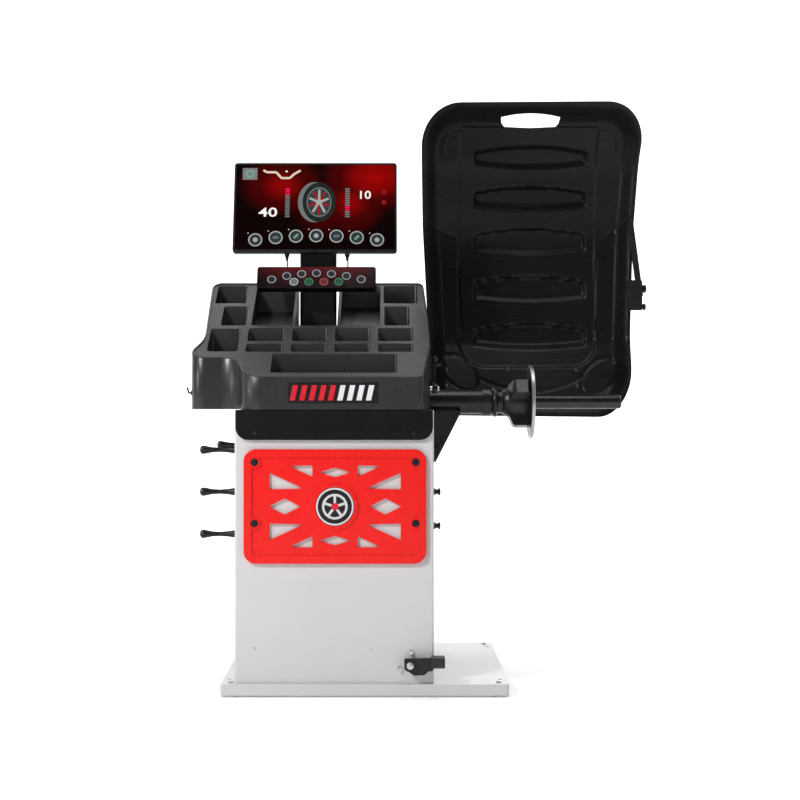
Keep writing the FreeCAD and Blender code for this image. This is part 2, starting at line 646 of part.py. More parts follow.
def make_bearing_outer_rings():
    rings = []
    for x in BEARING_X:
        ring = axis_rod(BEARING_R[1] - 0.02, (x, x + BEARING_WIDE))
        ring = ring.cut(axis_rod(26.0, (x - 1, x + BEARING_WIDE + 1)))
        rings.append(ring.cut(bearing_groove(x)))
    return rings


def make_bearing_inner_rings():
    """Inner rings with their balls, which travel with the shaft."""
    solids = []
    for x in BEARING_X:
        ring = axis_rod(20.0, (x, x + BEARING_WIDE))
        ring = ring.cut(axis_rod(SHAFT_R + 0.02, (x - 1, x + BEARING_WIDE + 1)))
        solids.append(ring.cut(bearing_groove(x)))
        for i in range(9):
            turn = math.radians(40 * i)
            centre = V(x + BEARING_WIDE / 2, AXIS_Y + 23 * math.cos(turn), AXIS_Z + 23 * math.sin(turn))
            solids.append(Part.makeSphere(4.7, centre))
    return solids


def make_spindle_shaft():
    """Stepped shaft that ends in the long clamping stud."""
    low, high = SHAFT_X
    return around_axis([(low, SHAFT_R - 1), (low + 1, SHAFT_R), (STUD_FROM_X, SHAFT_R),
                        (STUD_FROM_X, STUD_R), (high - 3, STUD_R), (high, STUD_R - 3)])


def make_flange_hub():
    """Hub with collars towards the housing and three rounded lobes behind the flange."""
    low, high = HUB_X
    core = around_axis([(368, 40), (374, 44), (380, 44), (384, 34), (398, 34), (402, 38),
                        (low, 40), (low + 14, HUB_R), (high, HUB_R)])
    parts = [core]
    for turn in (170, 50, 290):
        lobe = prism("y", [(low + 8, 0), (high, 0), (high, LOBE_R), (low + 24, LOBE_R), (low + 10, 40)],
                     -24, 24, (0, 0, 8, 14, 10))
        lobe.rotate(V(0, 0, 0), V(1, 0, 0), turn)
        lobe.translate(V(0, AXIS_Y, AXIS_Z))
        parts.append(lobe)
    return fused(parts).cut(axis_rod(SHAFT_R + 0.02, (300, 500)))


def make_flange_plate():
    low, high = FLANGE_X
    disc = around_axis([(low, FLANGE_R - 1.5), (low + 1.5, FLANGE_R), (high - 1.5, FLANGE_R),
                        (high, FLANGE_R - 1.5)])
    disc = disc.cut(axis_rod(SHAFT_R + 0.02, (400, 500)))
    ring = axis_rod(FLANGE_R - 12, (high - 2, high + 1)).cut(axis_rod(44, (high - 3, high + 2)))
    return disc.cut(ring)


def make_spindle_pulley():
    """One turned sleeve with the ribbed belt pulley and the brake drum."""
    p0, p1 = PULLEY_X
    d0, d1 = DRUM_X
    profile = [(p0, SHAFT_R + 0.02), (p0, PULLEY_R + 3), (p0 + 2, PULLEY_R + 3), (p0 + 2.5, PULLEY_R)]
    ribs = 6
    pitch = (p1 - p0 - 5) / ribs
    for i in range(ribs):
        x = p0 + 2.5 + i * pitch
        profile += [(x + pitch * 0.5, PULLEY_R - 2.5), (x + pitch, PULLEY_R)]
    profile += [(p1 - 2, PULLEY_R + 3), (p1, PULLEY_R + 3), (p1, 24), (d0 + 12, 24), (d0 + 12, DRUM_R - 6),
                (d0, DRUM_R - 6), (d0, DRUM_R), (d1, DRUM_R), (d1, DRUM_R - 6), (d0 + 18, DRUM_R - 6),
                (d0 + 18, 24), (d1, 24), (d1, SHAFT_R + 0.02)]
    return turned_ring(profile, (0, AXIS_Y, AXIS_Z), (1, 0, 0))


def make_encoder_disc():
    disc = axis_rod(55, (-58, -56)).fuse(axis_rod(22, (-63, -48)))
    disc = disc.cut(axis_rod(SHAFT_R + 0.02, (-90, -40)))
    slots = []
    for i in range(36):
        slot = box((-60, -54), (-1, 1), (42, 51))
        slot.rotate(V(0, 0, 0), V(1, 0, 0), 10 * i)
        slot.translate(V(0, AXIS_Y, AXIS_Z))
        slots.append(slot)
    return disc.cut(slots).removeSplitter()


def make_encoder_reader():
    """Forked optical reader on a bar from the carrier plate."""
    fork = box((-71, -47), (-52, 12), (AXIS_Z - 12, AXIS_Z + 12))
    fork = fork.cut(box((-62, -52), (-60, -26), (AXIS_Z - 20, AXIS_Z + 20)))
    bar = box((-60, CARRIER_X[0]), (0, 12), (AXIS_Z - 30, AXIS_Z - 12))
    return fused([fork, bar])


def make_force_sensors():
    """Two piezo force sensors between the carrier plate and the cabinet wall."""
    solids = []
    for y in (-160, -20):
        body = turned([(0, 10), (8, 10), (8, 15), (40, 15), (40, 10), (58.5, 10)],
                      (CARRIER_X[1] + 0.2, y, 735), (1, 0, 0))
        solids.append(body)
    return solids


def make_side_gusset():
    """Wall plate, two slanted cheeks and a top plate that cradle the spindle housing."""
    wall = box((CABINET_X[1], 197), (-138, -42), (632, 785))
    parts = [wall]
    for y in (-138, -48):
        parts.append(prism("y", [(196, 785), (275, 785), (275, 779), (203, 638), (196, 638)], y, y + 6, 0))
    parts.append(box((196, 275), (-138, -42), (779, 785)))
    parts.append(box((206, 266), (AXIS_Y - 30, AXIS_Y + 30), (772, 797)))
    body = fused(parts).cut(axis_rod(HOUSING_R + 0.05, (180, 300)))
    holes = wall_bolt_holes()
    holes += [(3.3, (x, -140, z), (x, -130, z)) for x, z in gusset_bolt_places()]
    return drilled(body, holes)


def make_motor_body():
    y, z = MOTOR_AT
    body = turned([(0, 24), (3, 24), (3, MOTOR_R - 6), (9, MOTOR_R), (22, MOTOR_R), (22, MOTOR_R - 4),
                   (98, MOTOR_R - 4), (98, MOTOR_R), (112, MOTOR_R), (119.8, MOTOR_R - 8)],
                  (0, y, z), (1, 0, 0))
    fins = []
    for i in range(24):
        fin = box((20, 100), (-1.2, 1.2), (MOTOR_R - 8, MOTOR_R))
        fin.rotate(V(0, 0, 0), V(1, 0, 0), 15 * i)
        fin.translate(V(0, y, z))
        fins.append(fin)
    body = fused([body] + fins)
    return body.cut(rod(8.05, (-1, y, z), (30, y, z)))


def make_motor_pulley():
    """Motor shaft with its small ribbed pulley."""
    y, z = MOTOR_AT
    p0, p1 = PULLEY_X
    r = MOTOR_PULLEY_R
    profile = [(p0 - 4, 8), (p0, 8), (p0, r + 3), (p0 + 2, r + 3), (p0 + 2.5, r), (p1 - 2.5, r),
               (p1 - 2, r + 3), (p1, r + 3), (p1, 8), (29, 8)]
    return turned(profile, (0, y, z), (1, 0, 0))


def belt_loop(gap):
    """Outline face of a belt round both pulleys, a gap outside their rims."""
    c1, r1 = (AXIS_Y, AXIS_Z), PULLEY_R + gap
    c2, r2 = MOTOR_AT, MOTOR_PULLEY_R + gap
    span = math.hypot(c2[0] - c1[0], c2[1] - c1[1])
    heading = math.atan2(c2[1] - c1[1], c2[0] - c1[0])
    lean = math.acos((r1 - r2) / span)

    def at(centre, radius, angle):
        return V(PULLEY_X[0] + 3, centre[0] + radius * math.cos(angle), centre[1] + radius * math.sin(angle))

    a1, a2 = heading + lean, heading - lean
    edges = [Part.Arc(at(c1, r1, a1), at(c1, r1, heading + math.pi), at(c1, r1, a2)).toShape(),
             Part.makeLine(at(c1, r1, a2), at(c2, r2, a2)),
             Part.Arc(at(c2, r2, a2), at(c2, r2, heading), at(c2, r2, a1)).toShape(),
             Part.makeLine(at(c2, r2, a1), at(c1, r1, a1))]
    return Part.Face(Part.Wire(edges))


def make_drive_belt():
    wide = V(PULLEY_X[1] - PULLEY_X[0] - 6, 0, 0)
    outer = belt_loop(BELT_GAP + BELT_THICK).extrude(wide)
    return outer.cut(belt_loop(BELT_GAP).extrude(wide))


def make_control_unit():
    low, high = CABINET_X[0] + SHEET + 0.2, -300.0
    case = plate("x", (-210, 60), (300, 610), low, high, 8)
    case = case.cut(plate("x", (-208, 58), (302, 608), low + SHEET, high - SHEET, 6))
    for i in range(5):
        z = 340 + i * 52
        case = case.cut(plate("x", (-40, 10), (z, z + 22), -306, -299, 2))
    return case


# ---------------------------------------------------------------- foot brake
def make_pedal_lever():
    """Foot lever in front of the cabinet, its cross shaft and the crank inside."""
    x, z = PEDAL_AT
    front = -388.0
    arm = prism("y", [(x - 16, z - 9), (x - 9, z - 16), (x + 62, z - 15), (x + 66, z - 3), (x + 90, z - 3),
                      (x + 90, z + 15), (x + 60, z + 21), (x - 16, z + 19)],
                front, front + 10, (4, 5, 6, 3, 2, 2, 6, 3))
    stop = prism("y", [(x - 8, z - 14), (x + 52, z - 14), (x + 38, z - 26), (x + 11, z - 27)],
                 front + 1, front + 9, (0, 0, 5, 5))
    hub = rod(15, (x, front - 3, z), (x, -366, z))
    shaft = rod(PEDAL_SHAFT_R, (x, -370, z), (x, -84, z))
    crank = prism("y", [(x + 14, z - 9), (x + 14, z + 9), (x - CRANK_REACH - 8, z + 8),
                        (x - CRANK_REACH - 8, z - 8)], -96, -84, (8, 8, 7, 7))
    pin = rod(5, (x - CRANK_REACH, -112, z), (x - CRANK_REACH, -90, z))
    return fused([arm, stop, hub, shaft, crank, pin])


def make_pedal_pad():
    """Ribbed rubber pad slipped over the lever's end."""
    x, z = PEDAL_AT
    pad = plate("y", (x + 58, x + 95), (z - 4, z + 25), -408, -366, 3)
    for i in range(5):
        y = -404 + i * 8
        pad = pad.cut(box((x + 55, x + 100), (y, y + 3), (z + 22.5, z + 26)))
    for i in range(6):
        groove_x = x + 62 + i * 5.5
        pad = pad.cut(box((groove_x, groove_x + 2), (-409, -406.5), (z + 2, z + 21)))
    return pad.cut(make_pedal_lever())


def make_brake_rod():
    x, y = ROD_AT
    z = PEDAL_AT[1]
    eye = plate("x", (y - 5, y + 5), (z - 13, z + 20), x - 11, x + 11, 0)
    eye = eye.cut(rod(7, (x, y - 10, z), (x, y + 10, z)))
    return fused([eye, tube(6, 4.5, (x, y, z + 15), (x, y, 702))])


def make_brake_shoe():
    x = ROD_AT[0]
    block = plate("z", (x - 16, x + 16), (AXIS_Y - 45, AXIS_Y + 35), 702, 745, 4)
    return block.cut(rod(DRUM_R + SHOE_GAP, (x - 30, AXIS_Y, AXIS_Z), (x + 30, AXIS_Y, AXIS_Z)))


# ---------------------------------------------------------------- rim gauge
def make_gauge_bar():
    y, z = GAUGE_AT
    low, high = GAUGE_BAR_X
    return turned([(low, 6), (low + 2, GAUGE_BAR_R), (high - 2, GAUGE_BAR_R), (high, 6)],
                  (0, y, z), (1, 0, 0))


def make_gauge_arm():
    """Swinging arm with its hub on the bar, a bent finger and a ball knob."""
    y, z = GAUGE_AT
    hub = tube(14, GAUGE_BAR_R + 0.05, (190, y, z), (206, y, z))
    arm = prism("x", [(y - 8, z + 10), (y + 8, z + 10), (y + 5, z + 74), (y - 5, z + 74)],
                195, 201, (0, 0, 4, 4))
    arm = arm.cut(rod(GAUGE_BAR_R + 0.05, (180, y, z), (220, y, z)))
    finger = rod(4, (194, y, z + 68), (216, y, z + 68))
    knob = turned([(0, 3), (6, 3), (9, 8), (14, 10), (19, 8), (22, 3)], (198, y, z + 70), (0, 0, 1))
    return fused([hub, arm, finger, knob])


def make_plain_bushes():
    """Flanged bushes of the guard tube, the gauge bar and the pedal shaft."""
    solids = []
    gy, gz = GUARD_AXIS
    for low, high in BRACKET_PLATES_X:
        bush = tube(25, GUARD_TUBE_R + 0.05, (low - 1, gy, gz), (high + 1, gy, gz))
        solids.append(bush)
    y, z = GAUGE_AT
    for x in (60, 172):
        pillar = box((x, x + 12), (y - 16, y + 16), (CABINET_Z[1] if x > 160 else 786, z + 14))
        solids.append(pillar.cut(rod(GAUGE_BAR_R + 0.05, (x - 5, y, z), (x + 20, y, z))))
    x, z = PEDAL_AT
    bush = tube(PEDAL_SHAFT_R + 4, PEDAL_SHAFT_R + 0.05, (x, -364, z), (x, -348, z))
    solids.append(bush)
    return solids


# ---------------------------------------------------------------- wheel guard
def make_guard_bracket():
    """Two cheek plates on a back plate, carrying the guard's pivot tube."""
    y, z = GUARD_AXIS
    back = plate("y", (60, 180), (620, 780), CABINET_Y[1], CABINET_Y[1] + 8, 4)
    parts = [back]
    for low, high in BRACKET_PLATES_X:
        cheek = prism("x", [(CABINET_Y[1] + 7, 630), (CABINET_Y[1] + 7, 772), (y - 50, z + 30),
                            (y + 8, z + 36), (y + 38, z), (y + 8, z - 44), (y - 90, 660)],
                      low, high, (0, 0, 30, 24, 24, 30, 40))
        parts.append(cheek)
    parts.append(box((BRACKET_PLATES_X[0][0], BRACKET_PLATES_X[1][1]), (300, 308), (700, 780)))
    body = fused(parts)
    holes = [(25.05, (60, y, z), (200, y, z))] + wall_bolt_holes()
    return drilled(body, holes)


def guard_rear_point(along, behind):
    """Point on the guard's straight lower stretch, a distance behind its front face."""
    (y0, z0), (y1, z1) = GUARD_PATH[0], GUARD_PATH[1]
    length = math.hypot(y1 - y0, z1 - z0)
    dy, dz = (y1 - y0) / length, (z1 - z0) / length
    return (y0 + dy * along + dz * behind, z0 + dz * along - dy * behind)


def make_guard_tube():
    """Pivot tube with welded lugs that carry the guard shell."""
    y, z = GUARD_AXIS
    body = rod(GUARD_TUBE_R, (GUARD_TUBE_X[0], y, z), (GUARD_TUBE_X[1], y, z))
    parts = [body]
    for x in (230, 430, 650):
        near = GUARD_SHEET + 0.2
        lug = prism("x", [guard_rear_point(99, near), guard_rear_point(199, near),
                          (y + 8, z + 18), (y - 4, z - 20)], x, x + 50)
        parts.append(lug)
    return fused(parts).cut(rod(GUARD_TUBE_R - 4, (60, y, z), (730, y, z)))


def make_guard_shell():
    front = list(GUARD_PATH)
    rear = offset_path(front, GUARD_SHEET)
    rear_radii = [r + GUARD_SHEET if r else 0 for r in GUARD_PATH_R]
    band = prism("x", front + rear[::-1], 150, 900, list(GUARD_PATH_R) + rear_radii[::-1])
    lip = [(y - GUARD_RIM_DEEP, z) for y, z in front]
    depth = prism("x", lip + rear[::-1], 150, 900, list(GUARD_PATH_R) + rear_radii[::-1])
    face = outline_face("y", GUARD_OUTLINE, 200, GUARD_OUTLINE_R)
    through = V(0, 340, 0)
    outline = face.extrude(through)
    inside = face.makeOffset2D(-GUARD_SHEET).extrude(through)
    shell = band.common(outline).fuse(depth.common(outline.cut(inside))).removeSplitter()
    slot = plate("y", GUARD_SLOT_X, GUARD_SLOT_Z, 200, 560, 20)
    shell = shell.cut(slot)
    holes = []
    for x, along in guard_bolt_places():
        start = guard_rear_point(along, -20)
        end = guard_rear_point(along, 20)
        holes.append((3.6, (x, start[0], start[1]), (x, end[0], end[1])))
    return drilled(shell, holes)


def guard_bolt_places():
    """Bolts through the guard into the tube's lugs: (x, distance up the lower stretch)."""
    return [(x + 25, along) for x in (230, 430, 650) for along in (119, 179)]


def make_guard_fasteners():
    """Button-head bolts, heads on the guard's front face."""
    (y0, z0), (y1, z1) = GUARD_PATH[0], GUARD_PATH[1]
    length = math.hypot(y1 - y0, z1 - z0)
    out = (0, -(z1 - z0) / length, (y1 - y0) / length)
    solids = []
    for x, along in guard_bolt_places():
        seat = guard_rear_point(along, 0)
        head = turned([(0, 8), (1.5, 8), (4, 5.5), (4.8, 3)], (x, seat[0], seat[1]), out)
        stem = Part.makeCylinder(3.3, 5, V(x, seat[0], seat[1]) - V(*out) * 4, V(*out))
        solids.append(fused([head, stem]))
    return solids


def make_sensor_bracket():
    """Flat bar and angle plate on the guard's right edge that carry the width gauge's knobs."""
    bar = prism("y", [(838, 1412), (858, 1412), (893, 1150), (873, 1150)], 414, 419, 6)
    mount = plate("y", (839, 889), (1106, 1204), 408, 414, 6)
    standoff = rod(6, (848, 418, 1398), (848, 472, 1398))
    cheek = box((884, 889), (409, 465), (1112, 1198))
    return fused([bar, mount, standoff, cheek])


def make_sensor_knobs():
    """Two clamp knobs on the side cheek and the pivot cap at the bar's upper end."""
    solids = []
    for z, y, size in ((1177, 430, 1.0), (1118, 424, 0.82)):
        solids.append(turned([(0, 5), (3, 5), (3, 11 * size), (5, 13 * size), (12 * size, 13 * size),
                              (15 * size, 10.5 * size), (15.5 * size, 5)], (889.2, y, z), (1, 0, 0)))
    solids.append(turned([(0, 8), (6, 8), (8, 6)], (848, 413.8, 1398), (0, -1, 0)))
    return solids


# ---------------------------------------------------------------- pegs, hooks, mains
def make_cone_pegs():
    solids = []
    for y, z in PEG_PLACES:
        solids.append(turned([(-3, 4), (0, 4), (0, 21), (2, 21), (4, 11), (22, 8), (46, 6.3), (68, 7.5),
                              (82, 10.5), (92, 12.3), (98, 11), (101.5, 6)],
                             (CABINET_X[0], y, z), (-1, 0, 0)))
    return solids


def make_tool_hooks():
    solids = []
    for y, z in STUB_PLACES:
        solids.append(turned([(-3, 4), (0, 4), (0, 10), (5, 10), (7, 7), (13, 7), (14, 10), (18, 10),
                              (20, 8)], (CABINET_X[1], y, z), (1, 0, 0)))
    x, y, z = TRAY_HOOK_AT
    ring = turned([(0, 7), (2, 7), (3, 5)], (x, y, z), (-1, 0, 0))
    stem = rod(2.6, (x - 1, y, z), (-500, y, z))
    tip = rod(2.6, (-500, y, z), (-505, y, z + 16))
    solids.append(fused([ring, stem, Part.makeSphere(2.6, V(-500, y, z)), tip]))
    return solids


def make_mains_inlet():
    """Three-pole inlet let into the rear panel."""
    x, z = INLET_AT
    back = CABINET_Y[1] + SHEET
    flange = plate("y", (x - 24, x + 24), (z - 16, z + 16), back, back + 3, 3)
    body = plate("y", (x - 16, x + 16), (z - 12, z + 12), back - 30, back + 1, 2)
    socket = prism("y", [(x - 12, z - 8), (x + 12, z - 8), (x + 12, z + 4), (x + 8, z + 8), (x - 8, z + 8),
                         (x - 12, z + 4)], back - 18, back + 4)
    shape = fused([flange, body]).cut(socket)
    pins = [box((x + dx - 1, x + dx + 1), (back - 19, back - 3), (z + dz - 2.5, z + dz + 2.5))
            for dx, dz in ((-7, -2), (0, 2), (7, -2))]
    return fused([shape] + pins)


def make_switch_bezel():
    x, z = SWITCH_AT
    back = CABINET_Y[1] + SHEET
    flange = plate("y", (x - 17, x + 17), (z - 16, z + 16), back, back + 2.5, 3)
    body = plate("y", (x - 13.5, x + 13.5), (z - 12.5, z + 12.5), back - 24, back + 1, 1)
    opening = box((x - 11, x + 11), (back - 20, back + 4), (z - 10.5, z + 10.5))
    pivot_hole = rod(1.8, (x - 15, back - 8, z), (x + 15, back - 8, z))
    return fused([flange, body]).cut(opening).cut(pivot_hole)


def make_power_rocker():
    """Rocker with two shallow faces and a pivot pin, stored in its off position."""
    x, z = SWITCH_AT
    back = CABINET_Y[1] + SHEET
    cap = prism("x", [(-8, -7), (1.4, -9.2), (-0.4, 0), (1.4, 9.2), (-8, 7)], x - 10.4, x + 10.4, 0)
    cap.rotate(V(0, -8, 0), V(1, 0, 0), -7)
    cap.translate(V(0, back, z))
    return cap.fuse(rod(1.5, (x - 12.5, back - 8, z), (x + 12.5, back - 8, z)))


# ---------------------------------------------------------------- write every node
def write(name, shape):
    """Export one node, a solid or a list of solids."""
    whole = Part.makeCompound(shape) if isinstance(shape, list) else shape
    solids = whole.Solids
    problems = [s for s in solids if not s.isValid() or s.Volume <= 0]
    print(f"{name}: {len(solids)} solids, {whole.Volume / 1000:.1f} cm3" + (" INVALID" if problems else ""))
    if len(solids) == 1:
        whole = solids[0]
    whole.exportStep(f"parts/{name}.step")


MAKERS = {
    "base_pan": make_base_pan,
    "levelling_feet": make_levelling_feet,
    "cabinet_shell": make_cabinet_shell,
    "rear_panel": make_rear_panel,
    "trim_panel": make_trim_panel,
    "front_apron": make_front_apron,
    "panel_screws": make_panel_screws,
    "hex_bolts": make_hex_bolts,
    "weight_tray": make_weight_tray,
    "monitor_post": make_monitor_post,
    "monitor_mount": make_monitor_mount,
    "monitor_shell": make_monitor_shell,
    "monitor_screen": make_monitor_screen,
    "monitor_cables": make_monitor_cables,
    "keypad_housing": make_keypad_housing,
    "spindle_carrier": make_spindle_carrier,
    "spindle_housing": make_spindle_housing,
    "bearing_outer_rings": make_bearing_outer_rings,
    "bearing_inner_rings": make_bearing_inner_rings,
    "spindle_shaft": make_spindle_shaft,
    "flange_hub": make_flange_hub,
    "flange_plate": make_flange_plate,
    "spindle_pulley": make_spindle_pulley,
    "encoder_disc": make_encoder_disc,
    "encoder_reader": make_encoder_reader,
    "force_sensors": make_force_sensors,
    "side_gusset": make_side_gusset,
    "motor_body": make_motor_body,
    "motor_pulley": make_motor_pulley,
    "drive_belt": make_drive_belt,
    "control_unit": make_control_unit,
    "pedal_lever": make_pedal_lever,
    "pedal_pad": make_pedal_pad,
    "brake_rod": make_brake_rod,
    "brake_shoe": make_brake_shoe,
    "gauge_bar": make_gauge_bar,
    "gauge_arm": make_gauge_arm,
    "plain_bushes": make_plain_bushes,
    "guard_bracket": make_guard_bracket,
    "guard_tube": make_guard_tube,
    "guard_shell": make_guard_shell,
    "guard_fasteners": make_guard_fasteners,
    "sensor_bracket": make_sensor_bracket,
    "sensor_knobs": make_sensor_knobs,
    "cone_pegs": make_cone_pegs,
    "tool_hooks": make_tool_hooks,
    "mains_inlet": make_mains_inlet,
    "switch_bezel": make_switch_bezel,
    "power_rocker": make_power_rocker,
}

os.makedirs("parts", exist_ok=True)
for node, maker in MAKERS.items():
    write(node, maker())
for number, (key_x, key_z) in enumerate(key_places(), start=1):
    write(f"key_{number:02d}", make_key(key_x, key_z))
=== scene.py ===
import json
import math

import bmesh
import bpy
from mathutils import Matrix, Vector


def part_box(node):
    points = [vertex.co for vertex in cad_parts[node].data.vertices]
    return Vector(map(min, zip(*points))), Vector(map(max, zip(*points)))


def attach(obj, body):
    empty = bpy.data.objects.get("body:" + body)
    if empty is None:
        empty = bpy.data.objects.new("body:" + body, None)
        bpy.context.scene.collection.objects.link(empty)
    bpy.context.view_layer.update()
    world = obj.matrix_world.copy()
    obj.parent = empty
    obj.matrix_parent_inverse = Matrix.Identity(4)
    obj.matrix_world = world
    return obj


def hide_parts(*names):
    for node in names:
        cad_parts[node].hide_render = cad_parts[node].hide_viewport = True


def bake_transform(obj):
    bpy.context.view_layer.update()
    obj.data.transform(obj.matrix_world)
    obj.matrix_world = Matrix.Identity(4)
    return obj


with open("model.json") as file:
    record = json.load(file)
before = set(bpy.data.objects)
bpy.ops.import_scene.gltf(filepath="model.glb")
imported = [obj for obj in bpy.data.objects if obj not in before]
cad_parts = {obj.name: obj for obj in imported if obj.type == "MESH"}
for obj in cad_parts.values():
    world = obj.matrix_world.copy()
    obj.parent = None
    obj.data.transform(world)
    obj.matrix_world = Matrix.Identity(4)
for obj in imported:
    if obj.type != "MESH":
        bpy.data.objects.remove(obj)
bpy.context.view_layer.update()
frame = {"nodes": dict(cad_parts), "record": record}
NODES = frame["nodes"]
SLOT_OF = {part["node"]: part["material_slot"] for part in frame["record"]["subparts"]}
MM = 0.001


# ---------------------------------------------------------------- places taken from the frame
def centre_of(node):
    """Middle of a CAD node's box."""
    low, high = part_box(node)
    return (Vector(low) + Vector(high)) / 2


SPINDLE = centre_of("spindle_shaft")
TRIM_LOW, TRIM_HIGH = map(Vector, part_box("trim_panel"))
CABINET_LOW, CABINET_HIGH = map(Vector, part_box("cabinet_shell"))
GUARD_LOW, GUARD_HIGH = map(Vector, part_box("guard_shell"))
TRAY_LOW = Vector(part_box("weight_tray")[0])
MONITOR_TILT = math.radians(17)
KEYPAD_TILT = math.radians(28)


# ---------------------------------------------------------------- materials
class Shader:
    """One procedural material, with short names for the nodes it needs."""

    def __init__(self, name, roughness=0.5, metallic=0.0):
        self.material = bpy.data.materials.new(name)
        self.material.use_nodes = True
        self.tree = self.material.node_tree
        self.surface = self.tree.nodes["Principled BSDF"]
        self.surface.inputs["Roughness"].default_value = roughness
        self.surface.inputs["Metallic"].default_value = metallic
        self.place = self.add("ShaderNodeTexCoord").outputs["Object"]

    def add(self, kind, **settings):
        node = self.tree.nodes.new(kind)
        for key, value in settings.items():
            setattr(node, key, value)
        return node

    def link(self, source, target):
        self.tree.links.new(source, target)

    def mapped(self, scale=(1, 1, 1), move=(0, 0, 0), turn=(0, 0, 0)):
        """Object coordinates moved, turned and scaled."""
        node = self.add("ShaderNodeMapping")
        node.inputs["Location"].default_value = move
        node.inputs["Rotation"].default_value = turn
        node.inputs["Scale"].default_value = scale
        self.link(self.place, node.inputs["Vector"])
        return node.outputs["Vector"]

    def noise(self, scale, detail=2.0, vector=None, rough=0.5):
        node = self.add("ShaderNodeTexNoise")
        node.inputs["Scale"].default_value = scale
        node.inputs["Detail"].default_value = detail
        node.inputs["Roughness"].default_value = rough
        self.link(vector if vector is not None else self.place, node.inputs["Vector"])
        return node.outputs["Fac"]

    def cells(self, scale):
        node = self.add("ShaderNodeTexVoronoi")
        node.inputs["Scale"].default_value = scale
        self.link(self.place, node.inputs["Vector"])
        return node.outputs["Distance"]

    def math(self, operation, first, second=0.0):
        node = self.add("ShaderNodeMath", operation=operation)
        for socket, value in zip(node.inputs, (first, second)):
            if isinstance(value, (int, float)):
                socket.default_value = value
            else:
                self.link(value, socket)
        return node.outputs["Value"]

    def spread(self, value, low, high, to_low, to_high):
        """Value remapped from one range to another, clamped."""
        node = self.add("ShaderNodeMapRange")
        for name, number in (("From Min", low), ("From Max", high), ("To Min", to_low), ("To Max", to_high)):
            node.inputs[name].default_value = number
        self.link(value, node.inputs["Value"])
        return node.outputs["Result"]

    def ramp(self, value, stops, smooth=False):
        node = self.add("ShaderNodeValToRGB")
        ramp = node.color_ramp
        ramp.interpolation = "EASE" if smooth else "LINEAR"
        while len(ramp.elements) < len(stops):
            ramp.elements.new(0.5)
        for element, (position, colour) in zip(ramp.elements, stops):
            element.position = position
            element.color = (*colour, 1)
        self.link(value, node.inputs["Fac"])
        return node.outputs["Color"]

    def colour(self, output):
        self.link(output, self.surface.inputs["Base Color"])

    def rough(self, output):
        self.link(output, self.surface.inputs["Roughness"])

    def bump(self, *layers):
        """Heights in metres laid over each other: (output, height) pairs."""
        normal = None
        for output, height in layers:
            node = self.add("ShaderNodeBump")
            node.inputs["Strength"].default_value = 1.0
            node.inputs["Distance"].default_value = height
            self.link(output, node.inputs["Height"])
            if normal is not None:
                self.link(normal, node.inputs["Normal"])
            normal = node.outputs["Normal"]
        self.link(normal, self.surface.inputs["Normal"])

    def set(self, **values):
        for key, value in values.items():
            self.surface.inputs[key.replace("_", " ")].default_value = value
        return self


def shade(colour, factor):
    """Colour made lighter or darker by a factor."""
    return tuple(min(1.0, part * factor) for part in colour)


def powder_paint(name, colour, roughness=0.42, peel=0.00006):
    """Powder coat: orange peel, faint cloudiness and a little dust in the colour."""
    s = Shader(name, roughness)
    cloud = s.noise(3.0, 4.0)
    s.colour(s.ramp(cloud, [(0.3, shade(colour, 0.965)), (0.7, shade(colour, 1.0))]))
    s.rough(s.spread(s.noise(9.0, 5.0), 0.3, 0.7, roughness - 0.05, roughness + 0.06))
    s.bump((s.noise(420.0, 2.0), peel), (s.noise(1500.0, 1.0), peel * 0.25))
    return s.set(Specular_IOR_Level=0.35).material


def moulded_plastic(name, colour, roughness=0.42, grain=0.00005, gloss=0.3):
    """Moulded plastic: leathery grain, flow clouds and rubbed, slightly shinier patches."""
    s = Shader(name, roughness)
    cloud = s.noise(5.0, 5.0)
    s.colour(s.ramp(cloud, [(0.25, shade(colour, 0.82)), (0.75, shade(colour, 1.2))]))
    s.rough(s.spread(s.noise(14.0, 6.0), 0.3, 0.7, roughness - 0.06, roughness + 0.08))
    s.bump((s.cells(900.0), grain), (s.noise(60.0, 3.0), grain * 1.5))
    return s.set(Specular_IOR_Level=gloss).material


def formed_plastic(name, colour, roughness=0.3):
    """Thermoformed sheet: satin sheen, soft waviness and fine wiping scratches."""
    s = Shader(name, roughness)
    cloud = s.noise(3.5, 5.0)
    s.colour(s.ramp(cloud, [(0.3, shade(colour, 0.8)), (0.7, shade(colour, 1.25))]))
    wipes = s.noise(1.0, 6.0, s.mapped(scale=(14, 90, 160), turn=(0.5, 0.2, 0.7)), 0.65)
    s.rough(s.spread(wipes, 0.35, 0.65, roughness - 0.05, roughness + 0.09))
    s.bump((s.noise(11.0, 2.0), 0.0006), (s.noise(700.0, 2.0), 0.00003))
    return s.set(Specular_IOR_Level=0.14).material


def gloss_plastic(name, colour):
    """Glossy moulding: deep colour with a faint orange peel under a clear coat."""
    s = Shader(name, 0.25)
    s.colour(s.ramp(s.noise(4.0, 4.0), [(0.3, shade(colour, 0.93)), (0.7, colour)]))
    s.rough(s.spread(s.noise(25.0, 5.0), 0.3, 0.7, 0.22, 0.34))
    s.bump((s.noise(240.0, 2.0), 0.00004))
    return s.set(Specular_IOR_Level=0.25, Coat_Weight=0.12, Coat_Roughness=0.1).material


